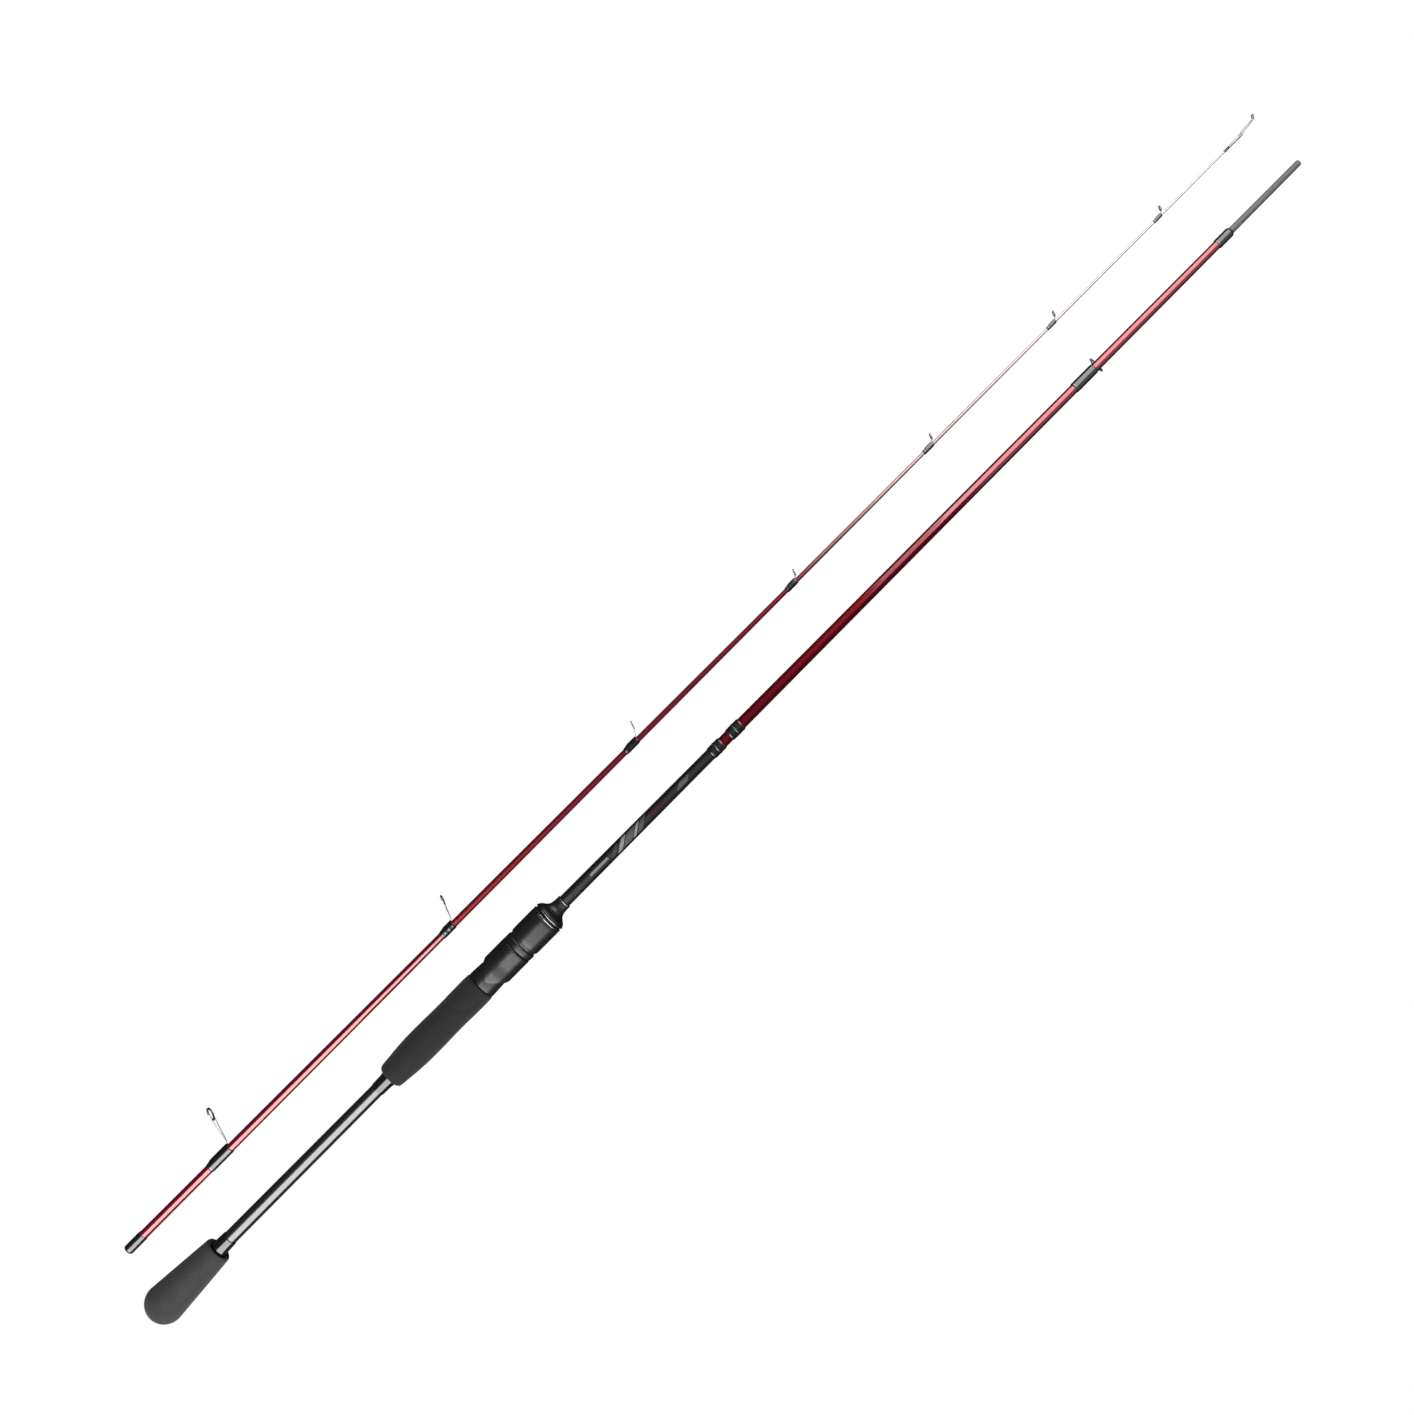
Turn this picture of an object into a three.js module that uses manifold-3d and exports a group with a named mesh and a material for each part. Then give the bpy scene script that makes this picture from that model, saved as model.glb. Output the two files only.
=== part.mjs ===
// A two-piece spinning rod taken apart, its butt section and tip section lying side by side on a table.
// Millimetres, +X from butt to tip, +Y towards the tip section, +Z up.
// Each section is drawn along its own +X axis and is then laid on the table as one group.
// On the butt section the reel and the stripper guide face down.
// On the tip section the guides lie sideways.

import * as THREE from "three";
import { mergeVertices } from "three/addons/utils/BufferGeometryUtils.js";
import Module from "manifold-3d";

const wasm = await Module();
wasm.setup();

// ---- driving dimensions ----

const GAP = 0.3; // clearance round pieces of handle size
const FINE_GAP = 0.1; // clearance round the thin end of the blanks
const BORE_RATIO = 0.76; // a blank's bore over its outer diameter

// Blank tapers as [station, outer diameter].
const BUTT_TAPER = [[8, 10.2], [110, 9.9], [400, 8.9], [541, 8.1], [776, 7.1], [1042.7, 5.9]];
const TIP_TAPER = [[0, 6.5], [150, 6.0], [400, 4.7], [640, 3.4], [790, 2.5], [900, 1.9], [1096, 1.2]];
const TIP_BORE_END = 830; // the tip blank is solid from here on

const SPIGOT = {
  start: 985, shoulder: 1043, end: 1109,
  insideRadius: 2, rootRadius: 2.35, endRadius: 2.15, chamfer: 0.6,
};

// Outlines are [station, radius] points.
const BUTT_GRIP = { end: 68.5, bulge: 13.5, bigRadius: 14, frontRadius: 10, boreBottom: 7, lip: 1.2 };
const BUTT_CHECK = {
  outline: [[68.9, 6.2], [70.5, 5.7], [77.5, 5.45], [78, 5.3]],
  bore: [[78, 5.2], [68.9, 5.25]],
};
const REAR_CHECK = {
  outline: [[219.8, 5.1], [220.6, 5.5], [228, 5.8], [231.6, 6.6]],
  bore: [[231.6, 5.05], [219.8, 5.0]],
};
const REAR_GRIP = {
  start: 232, seatStart: 262, end: 319.8, boreRadius: 8.85,
  outline: [
    [232, 7.6], [233.2, 9.2], [246, 10.5], [262, 11.4], [276, 11.35],
    [293, 11.1], [304, 11.3], [314, 11.4], [319, 11.2], [319.8, 10.4],
  ],
};

const SEAT = {
  start: 262.3, waistStart: 320.3, barrelStart: 333, end: 385,
  innerRadius: 7.4, bodyRadius: 8.5, waistRadius: 10.8, waistEndRadius: 10.3,
  crestRadius: 9.4, rootRadius: 8.95, threadStart: 353.5, threadPitch: 2.5,
  threadRunOut: 2, keywayWidth: 3, keywayBottom: 8.3,
};
const ARBORS = { rear: [264, 282], middle: [318, 336], front: [364, 383] };
const SADDLE = { start: 268.6, end: 334, depth: 8.6, halfWidth: 6.5, channelEnd: 353 };
const POCKET = {
  halfWidth: 6.9, floor: 14.7, wall: 1.1, rounding: 3, cushion: 0.8, cushionHalfWidth: 4.1,
};
const FIXED_HOOD = { start: 268, mouth: 281, wall: 1.6, top: 6.2 };
const MOVING_HOOD = {
  mouth: 335, end: 352.5, flange: 2.5, boreRadius: 10.95, outerRadius: 11.65, top: 7,
  tongueEnd: 323.5, tongueInner: 11.5, tongueOuter: 12.1, tongueHalfAngle: 62, tongueRoot: 4.5,
};
const NUT = { start: 352.9, grooveStart: 359.2, barrelStart: 360.6, barrelEnd: 382.6, end: 384.8 };
const NUT_RADII = { bore: 9.75, band: 11.35, groove: 10.7, barrel: 11.75, step: 10.8 };
const TRIM_RING = { width: 1.1, radius: 11.85 };
const NOSE = {
  start: 385.3, ringSeat: 386.6, end: 399, boreRadius: 4.95,
  outline: [[386.6, 11.4], [388.5, 10.3], [390.5, 7.7], [392.5, 6.3], [395.5, 5.5], [399, 5.25]],
};
const NOSE_CHECK = { start: 399.2, end: 400.3, radius: 5.4, boreRadius: 4.75 };

// Wraps of thread under epoxy, as start and end stations.
const BUTT_FERRULE_WRAP = [1029.4, 1042.4];
const TIP_FERRULE_WRAP = [0.3, 15.3];
const DECOR_WRAPS = { rear: [541.6, 552.5], front: [559.2, 570.8] };
const DECOR_BAND = { halfWidth: 0.55, thickness: 0.2 };
const WRAP = { ferrule: 0.4, decor: 0.42, tip: 0.3, foot: 0.35, slope: 1.2, edge: 0.15 };

// Guides as ring centre station, height over the blank's axis, ring diameter, and the foot wrap's stations.
const STRIPPER = { at: 922.7, height: 28, ring: 12.4, wrap: [893, 910.6], lean: 23, wire: 0.65 };
const TIP_GUIDES = [
  { at: 105.9, height: 25.9, ring: 10.0, wrap: [78.8, 98.4], lean: 18, wire: 0.55 },
  { at: 321.7, height: 17.2, ring: 7.2, wrap: [303.6, 314.8], lean: 20, wire: 0.5 },
  { at: 499.6, height: 9.7, ring: 6.3, wrap: [483.0, 494.6], lean: 22, wire: 0.45 },
  { at: 654.2, height: 5.1, ring: 5.2, wrap: [641.3, 650.8], lean: 20, wire: 0.4 },
  { at: 789.0, height: 4.6, ring: 4.8, wrap: [777.0, 785.8], lean: 20, wire: 0.38 },
  { at: 911.2, height: 4.4, ring: 4.4, wrap: [900.0, 908.0], lean: 20, wire: 0.35 },
  { at: 1017.0, height: 3.9, ring: 4.0, wrap: [1006.5, 1014.0], lean: 20, wire: 0.35 },
];
const TIP_TOP = {
  at: 1109.4, height: 3.2, ring: 4.0, lean: 32, wire: 0.35,
  tube: [1082.7, 1097.2], tubeWall: 0.3, tubeCap: 0.8, legsAfter: 8, wrapLength: 9.2,
};

// How the sections lie.
const PITCH = THREE.MathUtils.degToRad(1.254); // butt grip and stripper ring both touch the table
const TIP_PLACE = { x: 17.7, y: 43.4, z: 3.7 };
const TIP_TURN = { roll: -86.6, pitch: 0.095, yaw: -0.093 }; // degrees

const BLANK_SIDES = 16;
const GRIP_SIDES = 24;
const RING_SIDES = 16;

// ---- materials ----

const material = (color, roughness, metalness) =>
  new THREE.MeshStandardMaterial({ color, roughness, metalness });

const FOAM = material(0x353535, 0.95, 0);
const BLACK_PAINT = material(0x0c0c0d, 0.12, 0);
const CRIMSON = material(0x7c0a1c, 0.15, 0);
const GRAPHITE = material(0x6f6f6d, 0.55, 0);
const SEAT_PLASTIC = material(0x1c1c1d, 0.4, 0);
const CUSHION_PLASTIC = material(0x2a2a2a, 0.7, 0);
const CORK_FILLER = material(0x8b8272, 0.9, 0);
const EPOXY_WRAP = material(0x101011, 0.1, 0);
const SILVER = material(0xc9c9cc, 0.25, 1);
const STEEL = material(0x8d8f93, 0.3, 1);
const CERAMIC = material(0x2b2d31, 0.2, 0);

// ---- helpers ----

// A solid of revolution round +X from [station, radius] points.
function turned(profile, sides) {
  const points = profile.map(([x, radius]) => new THREE.Vector2(radius, x));
  return new THREE.LatheGeometry(points, sides).rotateZ(-Math.PI / 2);
}

// A hollow solid of revolution: the outer points run forwards, and the bore points run back.
function sleeve(outer, bore, sides) {
  return turned([...outer, ...bore, outer[0]], sides);
}

// A plain ring or tube of one outer and one inner radius.
function band(start, end, outerRadius, innerRadius, sides) {
  const outer = [[start, outerRadius], [end, outerRadius]];
  const bore = [[end, innerRadius], [start, innerRadius]];
  return sleeve(outer, bore, sides);
}

// A shape drawn in Y and Z, extruded along +X from start to end.
function extruded(shape, start, end, curveSegments = 10) {
  const depth = end - start;
  const geometry = new THREE.ExtrudeGeometry(shape, { depth, bevelEnabled: false, curveSegments });
  const turn = new THREE.Matrix4().makeBasis(
    new THREE.Vector3(0, 1, 0), new THREE.Vector3(0, 0, 1), new THREE.Vector3(1, 0, 0),
  );
  return geometry.applyMatrix4(turn).translate(start, 0, 0);
}

function box(min, max) {
  const size = max.map((value, i) => value - min[i]);
  const middle = max.map((value, i) => (value + min[i]) / 2);
  return new THREE.BoxGeometry(...size).translate(...middle);
}

// A round wire between two points.
function wire(from, to, radius) {
  const line = new THREE.Vector3().subVectors(to, from);
  const sides = 6;
  const geometry = new THREE.CylinderGeometry(radius, radius, line.length(), sides);
  const up = new THREE.Vector3(0, 1, 0);
  const turn = new THREE.Quaternion().setFromUnitVectors(up, line.clone().normalize());
  const middle = new THREE.Vector3().addVectors(from, to).multiplyScalar(0.5);
  return geometry.applyQuaternion(turn).translate(middle.x, middle.y, middle.z);
}

function toSolid(geometry) {
  const bare = geometry.clone();
  bare.deleteAttribute("normal");
  bare.deleteAttribute("uv");
  const merged = mergeVertices(bare, 1e-4);
  return new wasm.Manifold(new wasm.Mesh({
    numProp: 3,
    vertProperties: new Float32Array(merged.attributes.position.array),
    triVerts: new Uint32Array(merged.index.array),
  }));
}

function toGeometry(solid) {
  const mesh = solid.getMesh();
  const geometry = new THREE.BufferGeometry();
  geometry.setAttribute("position", new THREE.BufferAttribute(mesh.vertProperties, 3));
  geometry.setIndex(new THREE.BufferAttribute(mesh.triVerts, 1));
  geometry.computeVertexNormals();
  return geometry;
}

const joined = (first, ...rest) =>
  toGeometry(rest.reduce((whole, piece) => whole.add(toSolid(piece)), toSolid(first)));

const cut = (whole, ...tools) =>
  toGeometry(tools.reduce((left, tool) => left.subtract(toSolid(tool)), toSolid(whole)));

function add(group, name, geometry, look) {
  const mesh = new THREE.Mesh(geometry, look.clone());
  mesh.name = name;
  group.add(mesh);
  return mesh;
}

// A taper's radius at a station.
function radiusAt(taper, station) {
  const after = Math.max(1, taper.findIndex(([x]) => x >= station));
  const [x0, d0] = taper[after - 1];
  const [x1, d1] = taper[after];
  return THREE.MathUtils.lerp(d0, d1, (station - x0) / (x1 - x0)) / 2;
}

// ---- blanks, spigot and wraps ----

function buttBlank() {
  const outer = BUTT_TAPER.map(([x, diameter]) => [x, diameter / 2]);
  const bore = outer.map(([x, radius]) => [x, radius * BORE_RATIO]).reverse();
  return sleeve(outer, bore, BLANK_SIDES);
}

function tipBlank() {
  const outer = TIP_TAPER.map(([x, diameter]) => [x, diameter / 2]);
  const bored = TIP_TAPER.filter(([x]) => x < TIP_BORE_END);
  const bore = bored.map(([x, diameter]) => [x, (diameter / 2) * BORE_RATIO]).reverse();
  const tipEnd = outer[outer.length - 1][0];
  return turned([[TIP_BORE_END, 0], ...bore, ...outer, [tipEnd, 0]], BLANK_SIDES);
}

function spigot() {
  const { start, shoulder, end, insideRadius, rootRadius, endRadius, chamfer } = SPIGOT;
  return turned([
    [start, 0], [start, insideRadius], [shoulder, insideRadius], [shoulder, rootRadius],
    [end - chamfer, endRadius], [end, endRadius - chamfer], [end, 0],
  ], BLANK_SIDES);
}

// Thread and epoxy over a bare stretch of blank, with sloping ends.
function plainWrap(taper, [start, end], thickness) {
  const { slope, edge } = WRAP;
  const inner = radiusAt(taper, start) + FINE_GAP;
  const outer = inner + thickness;
  return sleeve(
    [[start, inner + edge], [start + slope, outer], [end - slope, outer], [end, inner + edge]],
    [[end, inner], [start, inner]],
    RING_SIDES,
  );
}

// ---- grips ----

function buttGrip() {
  const { end, bulge, bigRadius, frontRadius, boreBottom, lip } = BUTT_GRIP;
  const bore = radiusAt(BUTT_TAPER, BUTT_TAPER[0][0]) + GAP;
  const quarter = [0, 0.3, 0.55, 0.8, 1].map((t) => (t * Math.PI) / 2);
  const domed = quarter.map((a) => [bulge * (1 - Math.cos(a)), bigRadius * Math.sin(a)]);
  const front = [[end - lip, frontRadius], [end, frontRadius - lip]];
  const inside = [[end, bore], [boreBottom, bore], [boreBottom, 0]];
  return turned([...domed, ...front, ...inside], GRIP_SIDES);
}

// The rear grip runs over the blank and then over the back of the reel seat, open below for the reel foot.
function rearGrip() {
  const { start, seatStart, end, boreRadius, outline } = REAR_GRIP;
  const blankBore = radiusAt(BUTT_TAPER, start) + GAP;
  const seatBore = [[end, boreRadius], [seatStart, boreRadius]];
  const body = sleeve(outline, [...seatBore, [seatStart, blankBore], [start, blankBore]], GRIP_SIDES);
  const halfOpening = POCKET.halfWidth + POCKET.wall + GAP;
  const below = -2 * boreRadius;
  const footOpening = box([FIXED_HOOD.start - GAP, -halfOpening, below], [end + 1, halfOpening, 0]);
  return cut(body, footOpening);
}

// ---- reel seat ----

// Rings of thread on the barrel, from their first station to their last.
function threadRings() {
  const length = SEAT.end - SEAT.threadRunOut - SEAT.threadStart;
  const rings = Math.floor(length / SEAT.threadPitch);
  const points = [];
  for (let i = 0; i < rings; i++) {
    const x = SEAT.threadStart + i * SEAT.threadPitch;
    points.push([x, SEAT.rootRadius], [x + SEAT.threadPitch / 2, SEAT.crestRadius]);
  }
  return points;
}

function seatTube() {
  const { start, waistStart, barrelStart, threadStart, threadRunOut, end } = SEAT;
  const { innerRadius, bodyRadius, waistRadius, waistEndRadius, crestRadius, rootRadius } = SEAT;
  const shoulder = 2;
  const outer = [
    [start, bodyRadius], [waistStart, bodyRadius], [waistStart, waistRadius],
    [barrelStart - shoulder, waistEndRadius], [barrelStart, crestRadius], [threadStart - 1, crestRadius],
    ...threadRings(), [end - threadRunOut, rootRadius], [end, rootRadius],
  ];
  return sleeve(outer, [[end, innerRadius], [start, innerRadius]], GRIP_SIDES);
}

function reelSeatBody() {
  const { barrelStart, end, innerRadius, waistRadius, keywayWidth, keywayBottom } = SEAT;
  const { start, halfWidth, depth, channelEnd } = SADDLE;
  const outside = waistRadius + 1;
  const shelfTop = -innerRadius - FINE_GAP;
  const shelf = box([start, -halfWidth, -depth], [SADDLE.end, halfWidth, shelfTop]);
  const channel = box([start + 1, -outside, -outside], [channelEnd, outside, -depth]);
  const keyHalf = keywayWidth / 2;
  const keyway = box([barrelStart, -keyHalf, keywayBottom], [end + 1, keyHalf, outside]);
  return cut(joined(seatTube(), shelf), channel, keyway);
}

// The outline of a hood from the front: rounded below, at the given half width and depth.
function hoodOutline(path, halfWidth, top, floor) {
  const { rounding } = POCKET;
  path.moveTo(halfWidth, -top);
  path.lineTo(-halfWidth, -top);
  path.lineTo(-halfWidth, -(floor - rounding));
  path.quadraticCurveTo(-halfWidth, -floor, -(halfWidth - rounding), -floor);
  path.lineTo(halfWidth - rounding, -floor);
  path.quadraticCurveTo(halfWidth, -floor, halfWidth, -(floor - rounding));
  path.closePath();
  return path;
}

function hoodBlock(start, end, halfWidth, top, floor) {
  return extruded(hoodOutline(new THREE.Shape(), halfWidth, top, floor), start, end, 4);
}

function fixedHood() {
  const { start, mouth, wall, top } = FIXED_HOOD;
  const { halfWidth, floor } = POCKET;
  const shell = hoodBlock(start, mouth, halfWidth + POCKET.wall, top, floor + POCKET.wall);
  const pocket = hoodBlock(start + wall, mouth + 1, halfWidth, top - 1, floor);
  const roof = -SADDLE.depth - GAP;
  const seatRoom = box([start - 1, -halfWidth, roof], [mouth + 1, halfWidth, 0]);
  return cut(shell, pocket, seatRoom);
}

function hoodCushion(start, end) {
  const floor = POCKET.floor - FINE_GAP * 2;
  const half = POCKET.cushionHalfWidth;
  return box([start, -half, -floor], [end, half, -floor + POCKET.cushion]);
}

// A part of a tube on the top side, reaching halfAngle degrees to each side.
function topArc(start, end, outerRadius, innerRadius, halfAngle) {
  const reach = THREE.MathUtils.degToRad(halfAngle);
  const shape = new THREE.Shape();
  shape.absarc(0, 0, outerRadius, Math.PI / 2 - reach, Math.PI / 2 + reach, false);
  shape.absarc(0, 0, innerRadius, Math.PI / 2 + reach, Math.PI / 2 - reach, true);
  return extruded(shape, start, end, 6);
}

// What is cut off the tongue: its outline slopes down from its rear end to its root, seen from the side.
function tongueScallop() {
  const { mouth, tongueEnd, tongueOuter, tongueRoot } = MOVING_HOOD;
  const above = tongueOuter + 1;
  const shape = new THREE.Shape([
    new THREE.Vector2(tongueEnd - 1, above), new THREE.Vector2(tongueEnd - 1, tongueRoot - 1),
    new THREE.Vector2(mouth, tongueRoot - 1), new THREE.Vector2(mouth, tongueRoot),
    new THREE.Vector2(tongueEnd, tongueOuter + GAP / 2), new THREE.Vector2(tongueEnd, above),
  ]);
  return new THREE.ExtrudeGeometry(shape, { depth: 2 * above, bevelEnabled: false })
    .translate(0, 0, -above)
    .rotateX(Math.PI / 2);
}

function movingHood() {
  const { mouth, end, flange, boreRadius, outerRadius, top } = MOVING_HOOD;
  const { tongueEnd, tongueInner, tongueOuter, tongueHalfAngle } = MOVING_HOOD;
  const { halfWidth, floor, wall } = POCKET;
  const flangeStart = end - flange;
  const barrelBore = SEAT.crestRadius + GAP;
  const ring = band(mouth, end, outerRadius, barrelBore, GRIP_SIDES);
  const bulge = hoodBlock(mouth, end, halfWidth + wall, top, floor + wall);
  const tongue = topArc(tongueEnd, mouth + 4, tongueOuter, tongueInner, tongueHalfAngle);
  const bore = turned(
    [[mouth - 1, 0], [mouth - 1, boreRadius], [flangeStart, boreRadius], [flangeStart, 0]], GRIP_SIDES,
  );
  const pocket = hoodBlock(mouth - 1, flangeStart, halfWidth, 5, floor);
  const barrel = turned([[mouth, 0], [mouth, barrelBore], [end + 1, barrelBore], [end + 1, 0]], GRIP_SIDES);
  const shell = cut(joined(ring, bulge, tongue), bore, pocket, barrel, tongueScallop());
  const keyHalf = SEAT.keywayWidth / 2 - GAP;
  const key = box([flangeStart, -keyHalf, SEAT.keywayBottom + GAP], [end, keyHalf, outerRadius - 0.5]);
  return joined(shell, key);
}

function lockNut() {
  const { start, grooveStart, barrelStart, barrelEnd, end } = NUT;
  const radii = NUT_RADII;
  const edge = 0.5;
  const outer = [
    [start, radii.band - edge], [start + edge, radii.band], [grooveStart - edge, radii.band],
    [grooveStart, radii.groove], [barrelStart - edge, radii.groove], [barrelStart, radii.barrel - edge],
    [barrelStart + edge, radii.barrel], [barrelEnd, radii.barrel], [barrelEnd, radii.step], [end, radii.step],
  ];
  return sleeve(outer, [[end, radii.bore], [start, radii.bore]], GRIP_SIDES);
}

function noseCone() {
  const { start, ringSeat, end, boreRadius, outline } = NOSE;
  const rear = [[start, NUT_RADII.step], [ringSeat, NUT_RADII.step]];
  return sleeve([...rear, ...outline], [[end, boreRadius], [start, boreRadius]], GRIP_SIDES);
}

function seatArbor([start, end]) {
  return band(start, end, SEAT.innerRadius - GAP, radiusAt(BUTT_TAPER, start) + GAP, RING_SIDES);
}

// A silver ring that sits on a step of the nut or the nose cone.
function trimRing(start) {
  const seat = NUT_RADII.step + 0.15;
  return band(start, start + TRIM_RING.width, TRIM_RING.radius, seat, GRIP_SIDES);
}

// ---- guides ----
// A guide is drawn with its foot on the blank's +Z side. Its ring leans towards the tip.

function footSize(guide, taper) {
  const blank = radiusAt(taper, guide.wrap[0]);
  const halfWidth = Math.min(guide.wire * 1.5, blank * 0.7);
  const bottom = blank + FINE_GAP;
  const thickness = guide.wire * 1.1;
  return { halfWidth, bottom, top: bottom + thickness, thickness };
}

function guideFoot(guide, foot) {
  const rear = guide.wrap[0] + 1.5;
  const front = guide.wrap[1] + 1.2;
  const shape = new THREE.Shape([
    new THREE.Vector2(rear, -foot.halfWidth * 0.5), new THREE.Vector2(front, -foot.halfWidth),
    new THREE.Vector2(front, foot.halfWidth), new THREE.Vector2(rear, foot.halfWidth * 0.5),
  ]);
  return new THREE.ExtrudeGeometry(shape, { depth: foot.thickness, bevelEnabled: false })
    .translate(0, 0, foot.bottom);
}

// A ring round the guide's own axis, set at its height and lean.
function leanedRing(guide, outerRadius, innerRadius, width) {
  return band(-width / 2, width / 2, outerRadius, innerRadius, RING_SIDES)
    .rotateY(THREE.MathUtils.degToRad(guide.lean))
    .translate(guide.at, 0, guide.height);
}

const frameWidth = (guide) => guide.wire * 2;
const frameInnerRadius = (guide) => guide.ring / 2 - guide.wire * 1.3;

// Two wire legs from the foot's end to the lower half of the ring.
function guideLegs(guide, footEnd, footTop) {
  const lean = THREE.MathUtils.degToRad(guide.lean);
  const spread = THREE.MathUtils.degToRad(42);
  const reach = guide.ring / 2 - guide.wire * 0.3;
  return [-1, 1].map((side) => {
    const down = reach * Math.cos(spread);
    const from = new THREE.Vector3(footEnd, side * guide.wire * 0.6, footTop);
    const to = new THREE.Vector3(
      guide.at - down * Math.sin(lean),
      side * reach * Math.sin(spread),
      guide.height - down * Math.cos(lean),
    );
    return wire(from, to, guide.wire);
  });
}

function guideFrame(guide, taper) {
  const foot = footSize(guide, taper);
  const ring = leanedRing(guide, guide.ring / 2, frameInnerRadius(guide), frameWidth(guide));
  const legs = guideLegs(guide, guide.wrap[1] + 0.8, foot.bottom + foot.thickness * 0.75);
  return joined(ring, guideFoot(guide, foot), ...legs);
}

function guideRing(guide) {
  const outer = frameInnerRadius(guide) - FINE_GAP / 2;
  return leanedRing(guide, outer, outer - guide.wire * 1.1, frameWidth(guide) * 1.15);
}

// A circle with a flat-topped bump on its upper side.
function keyhole(path, radius, halfWidth, top) {
  const corner = Math.asin(halfWidth / radius);
  path.absarc(0, 0, radius, Math.PI / 2 + corner, Math.PI * 2.5 - corner, false);
  path.lineTo(halfWidth, top);
  path.lineTo(-halfWidth, top);
  path.closePath();
  return path;
}

// Thread and epoxy over a guide's foot.
function footWrap(guide, taper) {
  const foot = footSize(guide, taper);
  const thickness = WRAP.foot;
  const inner = foot.bottom;
  const roof = foot.top + FINE_GAP;
  const outerHalf = Math.min(foot.halfWidth + thickness, inner);
  const outline = keyhole(new THREE.Shape(), inner + thickness, outerHalf, roof + thickness);
  outline.holes.push(keyhole(new THREE.Path(), inner, foot.halfWidth + FINE_GAP / 2, roof));
  return extruded(outline, guide.wrap[0], guide.wrap[1]);
}

function addGuide(group, name, guide, taper) {
  add(group, name + "_frame", guideFrame(guide, taper), STEEL);
  add(group, name + "_ring", guideRing(guide), CERAMIC);
  add(group, name + "_wrap", footWrap(guide, taper), EPOXY_WRAP);
}

// The tip-top's tube slips over the end of the blank and carries its ring on three legs.
function tipTopFrame() {
  const [start, end] = TIP_TOP.tube;
  const { at, height, ring, wire: wireRadius, tubeWall, tubeCap, legsAfter } = TIP_TOP;
  const bore = radiusAt(TIP_TAPER, start) + FINE_GAP;
  const outer = bore + tubeWall;
  const cap = end - tubeCap;
  const tube = turned(
    [[cap, 0], [cap, bore], [start, bore], [start, outer], [end, outer], [end, 0]], RING_SIDES,
  );
  const eye = leanedRing(TIP_TOP, ring / 2, frameInnerRadius(TIP_TOP), frameWidth(TIP_TOP));
  const legs = guideLegs(TIP_TOP, start + legsAfter, outer + FINE_GAP);
  const lean = THREE.MathUtils.degToRad(TIP_TOP.lean);
  const rim = (ring - wireRadius * 1.3) / 2;
  const brace = wire(
    new THREE.Vector3(end - tubeCap / 2, 0, 0),
    new THREE.Vector3(at - rim * Math.sin(lean), 0, height - rim * Math.cos(lean)),
    wireRadius,
  );
  return joined(tube, eye, brace, ...legs);
}

function addTipTop(group) {
  const wrapEnd = TIP_TOP.tube[0] - GAP;
  const wrap = plainWrap(TIP_TAPER, [wrapEnd - TIP_TOP.wrapLength, wrapEnd], WRAP.foot);
  add(group, "tip_top_frame", tipTopFrame(), STEEL);
  add(group, "tip_top_ring", guideRing(TIP_TOP), CERAMIC);
  add(group, "tip_top_wrap", wrap, EPOXY_WRAP);
}

// ---- the two sections ----

function addHandle(group) {
  add(group, "butt_grip", buttGrip(), FOAM);
  add(group, "butt_grip_check", sleeve(BUTT_CHECK.outline, BUTT_CHECK.bore, GRIP_SIDES), BLACK_PAINT);
  add(group, "rear_grip_check", sleeve(REAR_CHECK.outline, REAR_CHECK.bore, GRIP_SIDES), BLACK_PAINT);
  add(group, "rear_grip", rearGrip(), FOAM);
}

function addReelSeat(group) {
  const { mouth, end, flange } = MOVING_HOOD;
  add(group, "reel_seat_body", reelSeatBody(), SEAT_PLASTIC);
  for (const [place, stations] of Object.entries(ARBORS))
    add(group, "seat_arbor_" + place, seatArbor(stations), CORK_FILLER);
  const fixedCushion = hoodCushion(FIXED_HOOD.start + 2, FIXED_HOOD.mouth - 0.5);
  const movingCushion = hoodCushion(mouth + 0.5, end - flange - 0.5);
  add(group, "fixed_hood", fixedHood(), STEEL);
  add(group, "fixed_hood_cushion", fixedCushion, CUSHION_PLASTIC);
  add(group, "moving_hood", movingHood(), SEAT_PLASTIC);
  add(group, "moving_hood_cushion", movingCushion, CUSHION_PLASTIC);
  add(group, "lock_nut", lockNut(), SEAT_PLASTIC);
  add(group, "lock_nut_ring", trimRing(NUT.barrelEnd + 0.2), SILVER);
}

function addNose(group) {
  const { start, end, radius, boreRadius } = NOSE_CHECK;
  add(group, "nose_cone", noseCone(), SEAT_PLASTIC);
  add(group, "nose_cone_ring", trimRing(NOSE.ringSeat - FINE_GAP - TRIM_RING.width), SILVER);
  add(group, "nose_check", band(start, end, radius, boreRadius, GRIP_SIDES), SILVER);
}

// A black wrap with a band of metallic thread round its middle.
function addDecorWrap(group, place, stations) {
  const middle = (stations[0] + stations[1]) / 2;
  const seat = radiusAt(BUTT_TAPER, stations[0]) + WRAP.decor + 2 * FINE_GAP;
  const { halfWidth, thickness } = DECOR_BAND;
  const metallic = band(middle - halfWidth, middle + halfWidth, seat + thickness, seat, RING_SIDES);
  add(group, "decor_wrap_" + place, plainWrap(BUTT_TAPER, stations, WRAP.decor), EPOXY_WRAP);
  add(group, "decor_band_" + place, metallic, SILVER);
}

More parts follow.
